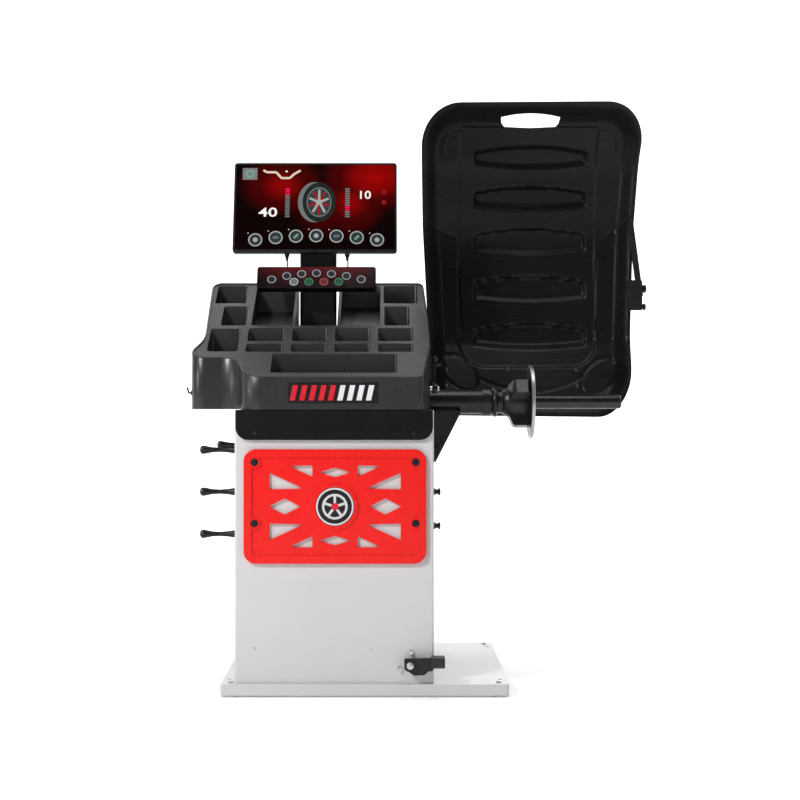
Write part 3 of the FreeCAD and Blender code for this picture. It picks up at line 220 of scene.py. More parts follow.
def turned_metal(name, colour, centre, roughness=0.25, rim=None):
    """Lathe-turned metal: fine rings round an axis along X through centre, and, when a rim radius is given, a
    painted highlight that makes the rim lighter grey.
    """
    s = Shader(name, roughness, 1.0)
    parts = s.add("ShaderNodeSeparateXYZ")
    s.link(s.mapped(move=(0, -centre[1], -centre[2])), parts.inputs["Vector"])
    across = s.math("POWER", parts.outputs["Y"], 2.0)
    upward = s.math("POWER", parts.outputs["Z"], 2.0)
    radius = s.math("SQRT", s.math("ADD", across, upward))
    rings = s.add("ShaderNodeCombineXYZ")
    s.link(s.math("MULTIPLY", parts.outputs["X"], 2500.0), rings.inputs["X"])
    s.link(s.math("MULTIPLY", radius, 2500.0), rings.inputs["Y"])
    lines = s.noise(1.0, 3.0, rings.outputs["Vector"])
    stain = s.noise(22.0, 5.0)
    if rim is None:
        s.colour(s.ramp(stain, [(0.3, shade(colour, 0.86)), (0.7, colour)]))
    else:
        # Painted highlight: the outer 4 mm of radius painted lighter grey, mottled a little by the stain
        # noise.
        rim_highlight_and_stain = s.math("ADD", s.spread(radius, rim - 0.004, rim, 0.0, 0.8), s.math("MULTIPLY", stain, 0.2))
        s.colour(s.ramp(rim_highlight_and_stain, [(0.05, shade(colour, 0.86)), (0.2, colour), (0.8, (0.42, 0.42, 0.43))]))
    s.rough(s.spread(stain, 0.3, 0.7, roughness + 0.08, roughness - 0.04))
    s.bump((lines, 0.000012))
    return s.material


def plain_metal(name, colour, roughness=0.35, grain=0.00002):
    """Plated, cast or blackened metal: mottled colour with a fine grain."""
    s = Shader(name, roughness, 1.0)
    mottle = s.noise(70.0, 6.0)
    s.colour(s.ramp(mottle, [(0.3, shade(colour, 0.85)), (0.7, colour)]))
    s.rough(s.spread(mottle, 0.3, 0.7, roughness + 0.1, roughness - 0.05))
    s.bump((s.noise(900.0, 3.0), grain), (s.noise(150.0, 3.0), grain))
    return s.material


def bolt_zinc(name, dark_from):
    """Zinc plated bolts, blackened on the spindle's side of the machine."""
    s = Shader(name, 0.34, 1.0)
    parts = s.add("ShaderNodeSeparateXYZ")
    s.link(s.place, parts.inputs["Vector"])
    side = s.math("ADD", s.spread(parts.outputs["X"], dark_from, dark_from + 0.004, 0.0, 0.8),
                  s.math("MULTIPLY", s.noise(90.0, 5.0), 0.2))
    s.colour(s.ramp(side, [(0.05, (0.5, 0.5, 0.49)), (0.15, (0.6, 0.6, 0.58)), (0.7, (0.035, 0.035, 0.037))]))
    s.rough(s.spread(s.noise(70.0, 5.0), 0.3, 0.7, 0.4, 0.3))
    s.bump((s.noise(900.0, 3.0), 0.00002))
    return s.material


def rubber(name, colour, roughness=0.7):
    """Matt rubber with dusty patches and a fine pitted skin."""
    s = Shader(name, roughness)
    s.colour(s.ramp(s.noise(40.0, 6.0), [(0.35, colour), (0.7, shade(colour, 1.9))]))
    s.rough(s.spread(s.noise(60.0, 4.0), 0.3, 0.7, roughness - 0.1, roughness + 0.12))
    s.bump((s.noise(1200.0, 3.0), 0.00008))
    return s.material


def keypad_film(name, low, high):
    """Printed keypad film: black at the sides and foot, dark red in the upper middle."""
    s = Shader(name, 0.28)
    parts = s.add("ShaderNodeSeparateXYZ")
    s.link(s.place, parts.inputs["Vector"])
    upward = s.spread(parts.outputs["Z"], low.z, high.z, 0.0, 1.0)
    red = s.ramp(upward, [(0.1, (0.004, 0.003, 0.004)), (0.55, (0.02, 0.002, 0.003)),
                          (1.0, (0.075, 0.004, 0.007))])
    middle = (low.x + high.x) / 2
    away = s.math("ABSOLUTE", s.math("SUBTRACT", parts.outputs["X"], middle))
    side = s.spread(away, (high.x - low.x) * 0.3, (high.x - low.x) * 0.5, 1.0, 0.25)
    mix = s.add("ShaderNodeVectorMath", operation="SCALE")
    s.link(red, mix.inputs[0])
    s.link(side, mix.inputs["Scale"])
    s.colour(mix.outputs["Vector"])
    s.rough(s.spread(s.noise(30.0, 4.0), 0.3, 0.7, 0.24, 0.36))
    s.bump((s.noise(800.0, 2.0), 0.00002))
    return s.set(Specular_IOR_Level=0.15).material


def key_face(name, centre, ring_colour, disc_colour):
    """Round key: printed ring and disc, by the distance from the key's own centre."""
    s = Shader(name, 0.3)
    parts = s.add("ShaderNodeSeparateXYZ")
    s.link(s.mapped(move=tuple(-c for c in centre)), parts.inputs["Vector"])
    squares = [s.math("POWER", parts.outputs[axis], 2.0) for axis in "XYZ"]
    radius = s.math("SQRT", s.math("ADD", s.math("ADD", squares[0], squares[1]), squares[2]))
    share = s.spread(radius, 0.0, 0.016, 0.0, 1.0)
    s.colour(s.ramp(share, [(0.0, shade(disc_colour, 1.6)), (0.62, disc_colour), (0.66, ring_colour),
                            (0.8, ring_colour), (0.84, (0.006, 0.005, 0.006))]))
    s.rough(s.spread(s.noise(200.0, 3.0), 0.3, 0.7, 0.25, 0.4))
    s.bump((s.noise(900.0, 2.0), 0.00002))
    return s.set(Specular_IOR_Level=0.14).material


def screen_picture(name, centre, half_width, half_height):
    """Lit screen: two red glows on black, under glossy glass."""
    s = Shader(name, 0.12)
    parts = s.add("ShaderNodeSeparateXYZ")
    s.link(s.mapped(move=tuple(-c for c in centre)), parts.inputs["Vector"])
    u = s.math("DIVIDE", parts.outputs["X"], half_width)
    v = s.math("DIVIDE", parts.outputs["Z"], half_height)
    glow = None
    for at_u, at_v, wide, tall, power in ((-0.42, 0.5, 0.6, 0.8, 0.78), (0.75, 0.7, 0.75, 0.9, 1.0),
                                          (0.45, 0.1, 0.5, 0.85, 0.75), (0.1, -0.1, 0.45, 0.75, 0.45)):
        across = s.math("POWER", s.math("DIVIDE", s.math("SUBTRACT", u, at_u), wide), 2.0)
        upward = s.math("POWER", s.math("DIVIDE", s.math("SUBTRACT", v, at_v), tall), 2.0)
        away = s.math("SQRT", s.math("ADD", across, upward))
        spot = s.spread(away, 0.0, 1.0, power, 0.0)
        glow = spot if glow is None else s.math("MAXIMUM", glow, spot)
    picture = s.ramp(glow, [(0.0, (0.0015, 0.0005, 0.0006)), (0.35, (0.05, 0.0003, 0.0004)),
                            (0.75, (0.24, 0.0006, 0.0006)), (1.0, (0.36, 0.001, 0.001))], smooth=True)
    s.link(picture, s.surface.inputs["Emission Color"])
    s.surface.inputs["Emission Strength"].default_value = 1.0
    s.colour(s.ramp(s.noise(5.0, 2.0), [(0.3, (0.002, 0.0008, 0.0008)), (0.7, (0.003, 0.0008, 0.0008))]))
    s.rough(s.spread(s.noise(8.0, 4.0), 0.3, 0.7, 0.1, 0.18))
    return s.set(Specular_IOR_Level=0.01).material


def lit(name, colour):
    """Glowing mark, slightly uneven at a very small scale: lit marks on the screen, and painted glow on the
    keys' printed marks.
    """
    s = Shader(name, 0.3)
    uneven = s.noise(600.0, 2.0)
    s.link(s.ramp(uneven, [(0.3, shade(colour, 0.86)), (0.7, colour)]), s.surface.inputs["Emission Color"])
    s.surface.inputs["Emission Strength"].default_value = 1.0
    s.colour(s.ramp(uneven, [(0.3, shade(colour, 0.1)), (0.7, shade(colour, 0.14))]))
    s.rough(s.spread(uneven, 0.3, 0.7, 0.25, 0.35))
    return s.set(Specular_IOR_Level=0.02).material


BLACK = (0.005, 0.005, 0.0055)
MATERIALS = {
    "cabinet_paint": powder_paint("cabinet_paint", (0.57, 0.57, 0.575)),
    "red_plastic": gloss_plastic("red_plastic", (0.78, 0.007, 0.005)),
    "tray_plastic": moulded_plastic("tray_plastic", (0.022, 0.022, 0.0224), 0.3, 0.00004, 0.34),
    "guard_plastic": formed_plastic("guard_plastic", (0.0066, 0.0066, 0.0068), 0.3),
    "apron_plastic": moulded_plastic("apron_plastic", (0.0035, 0.0035, 0.0036), 0.3, 0.00003, 0.2),
    "bezel_plastic": moulded_plastic("bezel_plastic", BLACK, 0.35, 0.00002),
    "black_plastic": moulded_plastic("black_plastic", BLACK, 0.35, 0.00003),
    "black_paint": powder_paint("black_paint", BLACK, 0.33, 0.00005),
    "zinc_steel": plain_metal("zinc_steel", (0.62, 0.62, 0.6), 0.32),
    "dark_steel": plain_metal("dark_steel", (0.07, 0.07, 0.075), 0.35),
    "bright_steel": turned_metal("bright_steel", (0.72, 0.72, 0.73), SPINDLE),
    "cast_metal": plain_metal("cast_metal", (0.3, 0.3, 0.3), 0.45, 0.00008),
    "aluminium": plain_metal("aluminium", (0.66, 0.66, 0.68), 0.42, 0.00006),
    "acetal_bush": moulded_plastic("acetal_bush", (0.02, 0.02, 0.021), 0.4, 0.00002),
    "cable_rubber": rubber("cable_rubber", (0.012, 0.012, 0.012), 0.55),
    "belt_rubber": rubber("belt_rubber", (0.016, 0.016, 0.016)),
    "pad_rubber": rubber("pad_rubber", (0.014, 0.014, 0.014), 0.62),
}
DARK_STUD = turned_metal("dark_stud", (0.05, 0.05, 0.052), SPINDLE, 0.28)
# Dark flange whose rim carries a painted highlight in lighter grey.
FLANGE_STEEL = turned_metal("flange_steel", (0.05, 0.05, 0.052), SPINDLE, 0.34, rim=0.104)
BLACK_ZINC = plain_metal("black_zinc", (0.035, 0.035, 0.037), 0.36)
BADGE_BLACK = moulded_plastic("badge_black", (0.01, 0.008, 0.009), 0.22, 0.00001)
BADGE_RED = gloss_plastic("badge_red", (0.6, 0.015, 0.03))
BADGE_SILVER = moulded_plastic("badge_silver", (0.62, 0.62, 0.64), 0.25, 0.00001)
MARKS = {
    "white": lit("mark_white", (0.9, 0.86, 0.84)),
    "silver": lit("mark_silver", (0.34, 0.37, 0.36)),
    "slate": lit("mark_slate", (0.035, 0.045, 0.05)),
    "tyre": lit("mark_tyre", (0.018, 0.02, 0.02)),
    "hot": lit("mark_hot", (0.85, 0.01, 0.09)),
    "dark_red": lit("mark_dark_red", (0.3, 0.012, 0.016)),
    "grey": lit("mark_grey", (0.14, 0.17, 0.16)),
    "green": lit("mark_green", (0.16, 0.34, 0.24)),
    "cream": lit("mark_cream", (0.72, 0.58, 0.46)),
    "panel": lit("mark_panel", (0.2, 0.18, 0.19)),
}
WHITE, SILVER, SLATE, TYRE, HOT, DARK_RED, GREY, GREEN, CREAM, PANEL = range(len(MARKS))
# The keys' marks glow like the screen's marks: painted light standing in for white print lit by the lamps.
KEY_MARK_GLOW = MARKS["white"]
KEY_MARK_GLOW_PALE = lit("mark_pale", (0.45, 0.5, 0.46))


def paint(thing, material):
    """Give an object one material in all of its slots."""
    slots = thing.material_slots
    if not slots:
        thing.data.materials.append(material)
    for slot in slots:
        slot.material = material


# ---------------------------------------------------------------- mesh helpers
def add_object(name, data):
    """New object in the scene."""
    thing = bpy.data.objects.new(name, data)
    bpy.context.scene.collection.objects.link(thing)
    return thing


def final_mesh(thing):
    """Copy of an object's mesh as its modifiers or its curve give it."""
    bpy.context.view_layer.update()
    graph = bpy.context.evaluated_depsgraph_get()
    return bpy.data.meshes.new_from_object(thing.evaluated_get(graph))


def add_mesh(name, work, material, body, smooth_angle=40):
    """Object from a bmesh, shaded smooth below an angle, riding on a body."""
    mesh = bpy.data.meshes.new(name)
    bmesh.ops.recalc_face_normals(work, faces=work.faces)
    limit = math.radians(smooth_angle)
    for face in work.faces:
        face.smooth = True
    for edge in work.edges:
        edge.smooth = len(edge.link_faces) == 2 and edge.calc_face_angle() < limit
    work.to_mesh(mesh)
    work.free()
    thing = add_object(name, mesh)
    for entry in material if isinstance(material, (list, tuple)) else [material]:
        mesh.materials.append(entry)
    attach(thing, body)
    return thing


def soften(node, width, segments=2):
    """Round the sharp edges of a CAD node with a weld and a bevel."""
    thing = NODES[node]
    weld = thing.modifiers.new("weld", "WELD")
    weld.merge_threshold = 0.00002
    bevel = thing.modifiers.new("bevel", "BEVEL")
    bevel.width = width
    bevel.segments = segments
    bevel.limit_method = "ANGLE"
    bevel.angle_limit = math.radians(35)
    bevel.harden_normals = True
    bevel.miter_outer = "MITER_ARC"


def plane_frame(centre, tilt):
    """Matrix from a face's own plane, x across, y up, z out towards the operator."""
    turn = Matrix.Rotation(-tilt, 4, "X") @ Matrix.Rotation(math.pi / 2, 4, "X")
    return Matrix.Translation(centre) @ turn


def add_prism(work, matrix, outline, low, high, index=0):
    """Closed prism on a plane: outline in the plane, from low to high along its normal."""
    bottom = [work.verts.new(matrix @ Vector((x, y, low))) for x, y in outline]
    top = [work.verts.new(matrix @ Vector((x, y, high))) for x, y in outline]
    count = len(outline)
    faces = [work.faces.new(top), work.faces.new(bottom[::-1])]
    for i in range(count):
        faces.append(work.faces.new((bottom[i], bottom[(i + 1) % count], top[(i + 1) % count], top[i])))
    for face in faces:
        face.material_index = index


def circle(x, y, radius, count=40, squash=1.0):
    """Points round a circle or an upright ellipse."""
    return [(x + radius * squash * math.cos(2 * math.pi * i / count),
             y + radius * math.sin(2 * math.pi * i / count)) for i in range(count)]


def add_ring(work, matrix, x, y, outer, inner, low, high, index=0, squash=1.0, count=48):
    """Closed flat ring on a plane."""
    loops = []
    for radius in (outer, inner):
        for level in (low, high):
            loops.append([work.verts.new(matrix @ Vector((px, py, level)))
                          for px, py in circle(x, y, radius, count, squash)])
    outer_low, outer_high, inner_low, inner_high = loops
    for first, second in ((outer_low, outer_high), (outer_high, inner_high), (inner_high, inner_low),
                          (inner_low, outer_low)):
        for i in range(count):
            j = (i + 1) % count
            work.faces.new((first[i], first[j], second[j], second[i])).material_index = index


def add_lathe(name, rings, place, axis, material, body):
    """Turned piece: (distance, radius) rings along an axis from a place, closed at both ends."""
    turn = Vector((0, 0, 1)).rotation_difference(Vector(axis)).to_matrix().to_4x4()
    matrix = Matrix.Translation(place) @ turn
    work = bmesh.new()
    count = 36
    loops = [[work.verts.new(matrix @ Vector((x, y, distance))) for x, y in circle(0, 0, radius, count)]
             for distance, radius in rings]
    work.faces.new(loops[0][::-1])
    work.faces.new(loops[-1])
    for a, b in zip(loops, loops[1:]):
        for i in range(count):
            j = (i + 1) % count
            work.faces.new((a[i], a[j], b[j], b[i]))
    return add_mesh(name, work, material, body, 40)


def bar(x0, y0, x1, y1, width):
    """Outline of a straight bar between two points."""
    along = Vector((x1 - x0, y1 - y0)).normalized()
    side = Vector((-along.y, along.x)) * width / 2
    return [(x0 - side.x, y0 - side.y), (x1 - side.x, y1 - side.y), (x1 + side.x, y1 + side.y),
            (x0 + side.x, y0 + side.y)]


def ease(value):
    """Smooth step from 0 to 1."""
    value = max(0.0, min(1.0, value))
    return value * value * (3 - 2 * value)


# ---------------------------------------------------------------- CAD nodes keep their shape
def finish_cad_nodes():
    """Materials for every CAD node, and rounded edges where they show."""
    for node, thing in NODES.items():
        material = MATERIALS.get(SLOT_OF[node])
        if material is not None:
            paint(thing, material)
    paint(NODES["spindle_shaft"], DARK_STUD)
    paint(NODES["flange_plate"], FLANGE_STEEL)
    paint(NODES["front_apron"], MATERIALS["apron_plastic"])
    paint(NODES["hex_bolts"], bolt_zinc("bolt_zinc", CABINET_HIGH.x))
    paint(NODES["panel_screws"], BLACK_ZINC)
    widths = {"weight_tray": 2.0, "front_apron": 1.0, "trim_panel": 1.2, "base_pan": 1.0,
              "cabinet_shell": 0.8, "monitor_shell": 1.0, "monitor_post": 1.2, "flange_hub": 2.0,
              "side_gusset": 1.2, "guard_bracket": 1.2, "pedal_lever": 1.2, "gauge_arm": 0.8,
              "sensor_bracket": 1.0, "rear_panel": 0.5, "pedal_pad": 1.0, "control_unit": 1.0}
    for node, width in widths.items():
        soften(node, width * MM, 3 if node in ("weight_tray", "flange_hub") else 2)


# ---------------------------------------------------------------- keypad and monitor
MARK_FOOT = 0.05 * MM
MARK_TOP = 0.2 * MM


def make_keypad_faces():
    """Printed film on the keypad and a ring on every key."""
    low, high = map(Vector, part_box("keypad_housing"))
    paint(NODES["keypad_housing"], keypad_film("keypad_film", low, high))
    ring_colours = [(0.27, 0.28, 0.3)] * 7 + [(0.38, 0.39, 0.4), (0.05, 0.2, 0.1), (0.3, 0.06, 0.07),
                                              (0.05, 0.2, 0.11)]
    for number, ring in enumerate(ring_colours, start=1):
        node = f"key_{number:02d}"
        out = Vector((0, -math.cos(KEYPAD_TILT), math.sin(KEYPAD_TILT)))
        face_centre = centre_of(node) + out * 3 * MM
        disc = (0.012, 0.013, 0.016) if number < 8 else shade(ring, 0.25)
        paint(NODES[node], key_face(f"{node}_print", face_centre, ring, disc))
        matrix = plane_frame(face_centre, KEYPAD_TILT)
        work = bmesh.new()
        add_key_mark(work, matrix, number)
        # The key's mark glows: painted light in place of lit print.
        add_mesh(f"{node}_mark", work, KEY_MARK_GLOW if number < 9 else KEY_MARK_GLOW_PALE, f"{node}_body")


def add_key_mark(work, matrix, number):
    """Generic mark on a key: dots and bars that differ from key to key."""
    size = 4.2 * MM
    low, high = 0.0, 0.25 * MM
    kind = number % 4
    if kind == 1:
        add_prism(work, matrix, bar(0, -size, 0, size, 1.8 * MM), low, high)
    elif kind == 2:
        add_prism(work, matrix, bar(-size, 0, size, 0, 1.8 * MM), low, high)
    elif kind == 3:
        add_prism(work, matrix, [(-size, -size * 0.7), (size, -size * 0.7), (0, size)], low, high)
    else:
        add_ring(work, matrix, 0, 0, size, size * 0.55, low, high, count=24)


def add_wheel_icon(work, matrix, x, y, radius):
    """Wheel seen a little from the side: grey tread, dark tyre, bright rim, red and silver spokes."""
    face = x + radius * 0.1
    narrow = 0.77
    spokes = 10
    add_prism(work, matrix, circle(x - radius * 0.1, y, radius, 56, narrow), 0.06 * MM, 0.14 * MM, GREY)
    add_prism(work, matrix, circle(face, y, radius * 0.98, 56, narrow), 0.1 * MM, 0.22 * MM, TYRE)
    add_prism(work, matrix, circle(x - radius * 0.13, y, radius * 0.86, 56, narrow), 0.08 * MM, 0.12 * MM,
              SILVER)
    add_ring(work, matrix, face, y, radius * 0.74, radius * 0.67, 0.2 * MM, 0.3 * MM, GREY, narrow)
    add_prism(work, matrix, circle(face, y, radius * 0.64, 40, narrow), 0.2 * MM, 0.28 * MM, SLATE)
    for i in range(spokes):
        turn = 2 * math.pi * i / spokes + 0.3
        near = (face + 0.1 * radius * math.cos(turn), y + 0.1 * radius * math.sin(turn))
        far = (face + 0.6 * radius * narrow * math.cos(turn), y + 0.62 * radius * math.sin(turn))
        add_prism(work, matrix, bar(*near, *far, radius * 0.11), 0.26 * MM, 0.36 * MM,
                  DARK_RED if i % 2 else SILVER)
    add_prism(work, matrix, circle(face, y, radius * 0.14, 20), 0.3 * MM, 0.42 * MM, SILVER)


def add_level_bars(work, matrix, half_w, half_h):
    """Two upright rows of short bars beside the wheel, some of them lit."""
    width, height = 0.028 * half_w, 0.018 * half_h
    for side, hot in ((-0.367, (0, 1, 2)), (0.387, (8, 9))):
        for i in range(13):
            x = side * half_w
            y = (0.44 - i * 0.054) * half_h
            outline = [(x - width, y - height), (x + width, y - height), (x + width, y + height),
                       (x - width, y + height)]
            add_prism(work, matrix, outline, MARK_FOOT, MARK_TOP, HOT if i in hot else GREY)


def add_dials(work, matrix, half_w, half_h):
    """Row of seven round buttons along the foot of the screen, in a shallow arc."""
    radius = 0.153 * half_h
    size = radius * 0.3
    for i in range(7):
        x = (i - 3) * 0.2535 * half_w
        y = (-0.66 - 0.095 * (abs(i - 3) / 3) ** 2) * half_h
        add_prism(work, matrix, circle(x, y, radius * 0.92), MARK_FOOT, MARK_TOP * 0.8, SLATE)
        add_ring(work, matrix, x, y, radius, radius * 0.82, MARK_FOOT, MARK_TOP, SILVER)
        add_ring(work, matrix, x, y, radius * 0.66, radius * 0.56, MARK_FOOT, MARK_TOP * 1.1, TYRE)
        marks = (circle(x, y, radius * 0.34, 20), bar(x - radius * 0.4, y, x + radius * 0.4, y, size),
                 bar(x - size, y - size, x + size, y + size, size))
        add_prism(work, matrix, marks[i % 3], MARK_FOOT, MARK_TOP * 1.2, (SILVER, GREY, GREEN)[i % 3])
        add_prism(work, matrix, circle(x - radius * 1.05, y + radius * 1.0, 0.012 * half_h, 10), MARK_FOOT,
                  MARK_TOP, WHITE)


def add_corner_marks(work, matrix, half_w, half_h):
    """Rim's outline with a dot, small picture in the corner, and two rings on the right."""
    outline = [(-0.678, 0.89), (-0.634, 0.84), (-0.515, 0.84), (-0.447, 0.7), (-0.344, 0.7), (-0.286, 0.8),
               (-0.208, 0.88)]
    for (x0, y0), (x1, y1) in zip(outline, outline[1:]):
        stroke = bar(x0 * half_w, y0 * half_h, x1 * half_w, y1 * half_h, 0.05 * half_h)
        add_prism(work, matrix, stroke, MARK_FOOT, MARK_TOP, CREAM)
    add_prism(work, matrix, circle(-0.385 * half_w, 0.86 * half_h, 0.024 * half_h, 14), MARK_FOOT, MARK_TOP,
              WHITE)
    picture = bar(-0.94 * half_w, 0.8 * half_h, -0.753 * half_w, 0.8 * half_h, 0.28 * half_h)
    add_prism(work, matrix, picture, MARK_FOOT, MARK_TOP, PANEL)
    add_ring(work, matrix, -0.846 * half_w, 0.8 * half_h, 0.1 * half_h, 0.05 * half_h, MARK_FOOT,
             MARK_TOP * 1.3, GREEN, count=24)
    for y in (0.367, 0.125):
        add_ring(work, matrix, 0.849 * half_w, y * half_h, 0.05 * half_h, 0.02 * half_h, MARK_FOOT, MARK_TOP,
                 DARK_RED, count=20)


def make_screen():
    """The picture on the monitor, drawn with thin pieces on its glass."""
    low, high = map(Vector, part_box("monitor_screen"))
    centre = (low + high) / 2
    half_w = (high.x - low.x) / 2
    half_h = (high.z - low.z) / 2 / math.cos(MONITOR_TILT)
    paint(NODES["monitor_screen"], screen_picture("screen_picture", centre, half_w, (high.z - low.z) / 2))
    out = Vector((0, -math.cos(MONITOR_TILT), math.sin(MONITOR_TILT)))
    matrix = plane_frame(centre + out * 0.92 * MM, MONITOR_TILT) @ Matrix.Translation((0.004, -0.0026, 0))
    work = bmesh.new()
    add_wheel_icon(work, matrix, 0.003 * half_w, 0.13 * half_h, 0.475 * half_h)
    add_level_bars(work, matrix, half_w, half_h)
    add_dials(work, matrix, half_w, half_h)
    add_corner_marks(work, matrix, half_w, half_h)
    add_mesh("screen_marks", work, list(MARKS.values()), "monitor", 30)
    for text, u, v, size, wide in (("40", -0.609, -0.12, 0.294, 1.35), ("10", 0.6, 0.29, 0.26, 1.1)):
        add_numeral(f"screen_number_{text}", text, matrix, u * half_w, v * half_h, size * half_h, wide)


def add_numeral(name, text, matrix, x, y, size, wide):
    """Plain numerals laid on the screen as a thin mesh."""
    curve = bpy.data.curves.new(name, "FONT")
    curve.body = text
    curve.size = size
    curve.align_x = "CENTER"
    curve.align_y = "CENTER"
    curve.extrude = 0.1 * MM
    curve.offset = size * 0.018
    curve.space_character = 1.05
    source = add_object(name + "_source", curve)
    source.matrix_world = matrix @ Matrix.Translation((x, y, 0.15 * MM)) @ Matrix.Diagonal((wide, 1, 1, 1))
    mesh = final_mesh(source)
    mesh.transform(source.matrix_world)
    bpy.data.objects.remove(source)
    thing = add_object(name, mesh)
    mesh.materials.clear()
    mesh.materials.append(MARKS["white"])
    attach(thing, "monitor")


# ---------------------------------------------------------------- badge, emblem, rivets
def make_badge():
    """Dark plate on the tray's front with plain slanted stripes."""
    matrix = plane_frame(Vector((-0.087, TRAY_LOW.y, 0.838)), 0)
    half_w, half_h = 0.124, 0.0285
    rim = 3 * MM
    stripes, red_stripes = 9, 5
    lean = 0.009
    bottom, top = -half_h + 2.5 * rim, half_h - 2.5 * rim
    pitch = (2 * half_w - 4 * rim) / stripes
    work = bmesh.new()
    add_prism(work, matrix, [(-half_w, -half_h), (half_w, -half_h), (half_w, half_h), (-half_w, half_h)],
              -0.5 * MM, 1.2 * MM, 0)
    for i in range(stripes):
        left = -half_w + 3 * rim + i * pitch
        outline = [(left - lean / 2, bottom), (left + pitch * 0.55 - lean / 2, bottom),
                   (left + pitch * 0.55 + lean / 2, top), (left + lean / 2, top)]
        add_prism(work, matrix, outline, 1.0 * MM, 2.0 * MM, 1 if i < red_stripes else 2)
    add_mesh("badge_plate", work, [BADGE_BLACK, BADGE_RED, BADGE_SILVER], "machine", 30)


def make_emblem():
    """Round emblem in the trim's boss: a plain five-spoked wheel."""
    centre = (TRIM_LOW + TRIM_HIGH) / 2
    matrix = plane_frame(Vector((centre.x, TRIM_LOW.y + 3 * MM, centre.z)), 0)
    work = bmesh.new()
    radius = 53.5 * MM
    add_prism(work, matrix, circle(0, 0, radius, 96), -0.5 * MM, 1.5 * MM, 0)
    add_ring(work, matrix, 0, 0, radius * 0.97, radius * 0.88, 1.0 * MM, 2.6 * MM, 1, count=96)
    add_ring(work, matrix, 0, 0, radius * 0.66, radius * 0.54, 1.0 * MM, 2.4 * MM, 1, count=72)
    for i in range(5):
        turn = math.pi / 2 + 2 * math.pi * i / 5
        outline = bar(radius * 0.14 * math.cos(turn), radius * 0.14 * math.sin(turn),
                      radius * 0.58 * math.cos(turn), radius * 0.58 * math.sin(turn), radius * 0.13)
        add_prism(work, matrix, outline, 1.0 * MM, 2.2 * MM, 1)
    add_prism(work, matrix, circle(0, 0, radius * 0.19, 36), 1.0 * MM, 2.6 * MM, 2)
    add_mesh("trim_emblem", work, [BADGE_BLACK, BADGE_SILVER, BADGE_RED], "machine", 30)


def make_rivets():
    """Small domed rivets low on the cabinet's front."""
    front = CABINET_LOW.y
    for number, (x, z) in enumerate(((-0.304, 0.133), (0.016, 0.131)), start=1):
        work = bmesh.new()
        bmesh.ops.create_uvsphere(work, u_segments=20, v_segments=12, radius=3.6 * MM)
        bmesh.ops.scale(work, verts=work.verts, vec=(1, 0.5, 1))
        bmesh.ops.translate(work, verts=work.verts, vec=(x, front, z))
        add_mesh(f"cabinet_rivet_{number}", work, MATERIALS["zinc_steel"], "machine", 60)


# ---------------------------------------------------------------- wheel guard
GUARD_BENDS = ((0.322, 0.756, 0.0), (0.455, 1.012, 0.020), (0.472, 1.342, 0.060), (0.430, 1.580, 0.045),
               (0.285, 1.772, 0.0))
GUARD_SIDES = ((0.764, 0.200, 0.843), (1.0, 0.197, 0.850), (1.05, 0.195, 0.851), (1.382, 0.178, 0.863),
               (1.754, 0.171, 0.883))
GUARD_TOP_R = ((0.125, 0.125), (0.125, 0.125))
GUARD_FOOT_R = ((0.090, 0.090), (0.112, 0.165))
GUARD_FOOT_TILT = -0.0109
GUARD_HEAD_TILT = 0.0056
GUARD_LIP = 0.040
GUARD_CHEEK = 0.052
GUARD_SHEET = 0.0035
GUARD_WAIST_Z = 1.25
GUARD_ROWS, GUARD_COLUMNS = 260, 180
RIB_CENTRE_X = 0.529
RIB_HALF = 0.186
# each rib's top, bottom and depth at its middle
RIBS = ((1.637, 1.566, 0.021), (1.512, 1.434, 0.021), (1.377, 1.289, 0.014), (1.222, 1.131, 0.012),
        (1.065, 0.978, 0.010))
# sunk field that holds the ribs
FIELD_LEFT, FIELD_RIGHT, FIELD_FOOT, FIELD_HEAD = 0.297, 0.741, 0.922, 1.69
FIELD_CORNER_R = 0.085
FIELD_STEP = 0.005
FIELD_HEAD_FROM = 1.50
# oval leaves in the lower corners: centre x, centre z and turn
LEAVES = ((0.748, 0.893, 0.75), (0.296, 0.905, -0.75))
LEAF_LONG, LEAF_SHORT = 0.072, 0.043
FOLDS = (((0.200, 1.385), (0.295, 1.343)), ((0.767, 1.343), (0.858, 1.405)))
SEAM = ((0.27, 1.019), (0.815, 1.015))
SLOT_LEFT, SLOT_RIGHT, SLOT_FOOT, SLOT_TOP = 0.425, 0.613, 1.688, 1.7215


def guard_profile():
    """Dense (y, z) points up the guard's middle, its bends rounded by short curves."""
    dense = []
    for i, (y, z, reach) in enumerate(GUARD_BENDS):
        here = Vector((y, z))
        if reach == 0:
            dense.append(here)
            continue
        before = (Vector(GUARD_BENDS[i - 1][:2]) - here).normalized() * reach
        after = (Vector(GUARD_BENDS[i + 1][:2]) - here).normalized() * reach
        for k in range(13):
            t = k / 12
            dense.append(here + before * (1 - t) ** 2 + after * t ** 2)
    return dense


def profile_at(dense, z):
    """Depth of the guard's sheet at a height, and how much it leans there."""
    for a, b in zip(dense, dense[1:]):
        if z <= b.y:
            break
    lean = (b.x - a.x) / (b.y - a.y)
    return a.x + lean * (z - a.y), lean


def guard_side(z, column):
    """Left (1) or right (2) edge of the guard at a height, before its corners are rounded."""
    for low, high in zip(GUARD_SIDES, GUARD_SIDES[1:]):
        if z <= high[0]:
            share = (z - low[0]) / (high[0] - low[0])
            return low[column] + (high[column] - low[column]) * share
    return GUARD_SIDES[-1][column]


def corner_cut(z, column):
    """How far the rounded corners draw one side in at a height."""
    cut = 0.0
    for end, radii in ((z - GUARD_SIDES[0][0], GUARD_FOOT_R), (GUARD_SIDES[-1][0] - z, GUARD_TOP_R)):
        wide, tall = radii[column - 1]
        if end < tall:
            cut = wide * (1 - math.sqrt(max(0.0, 1 - (1 - max(0.0, end) / tall) ** 2)))
    return cut


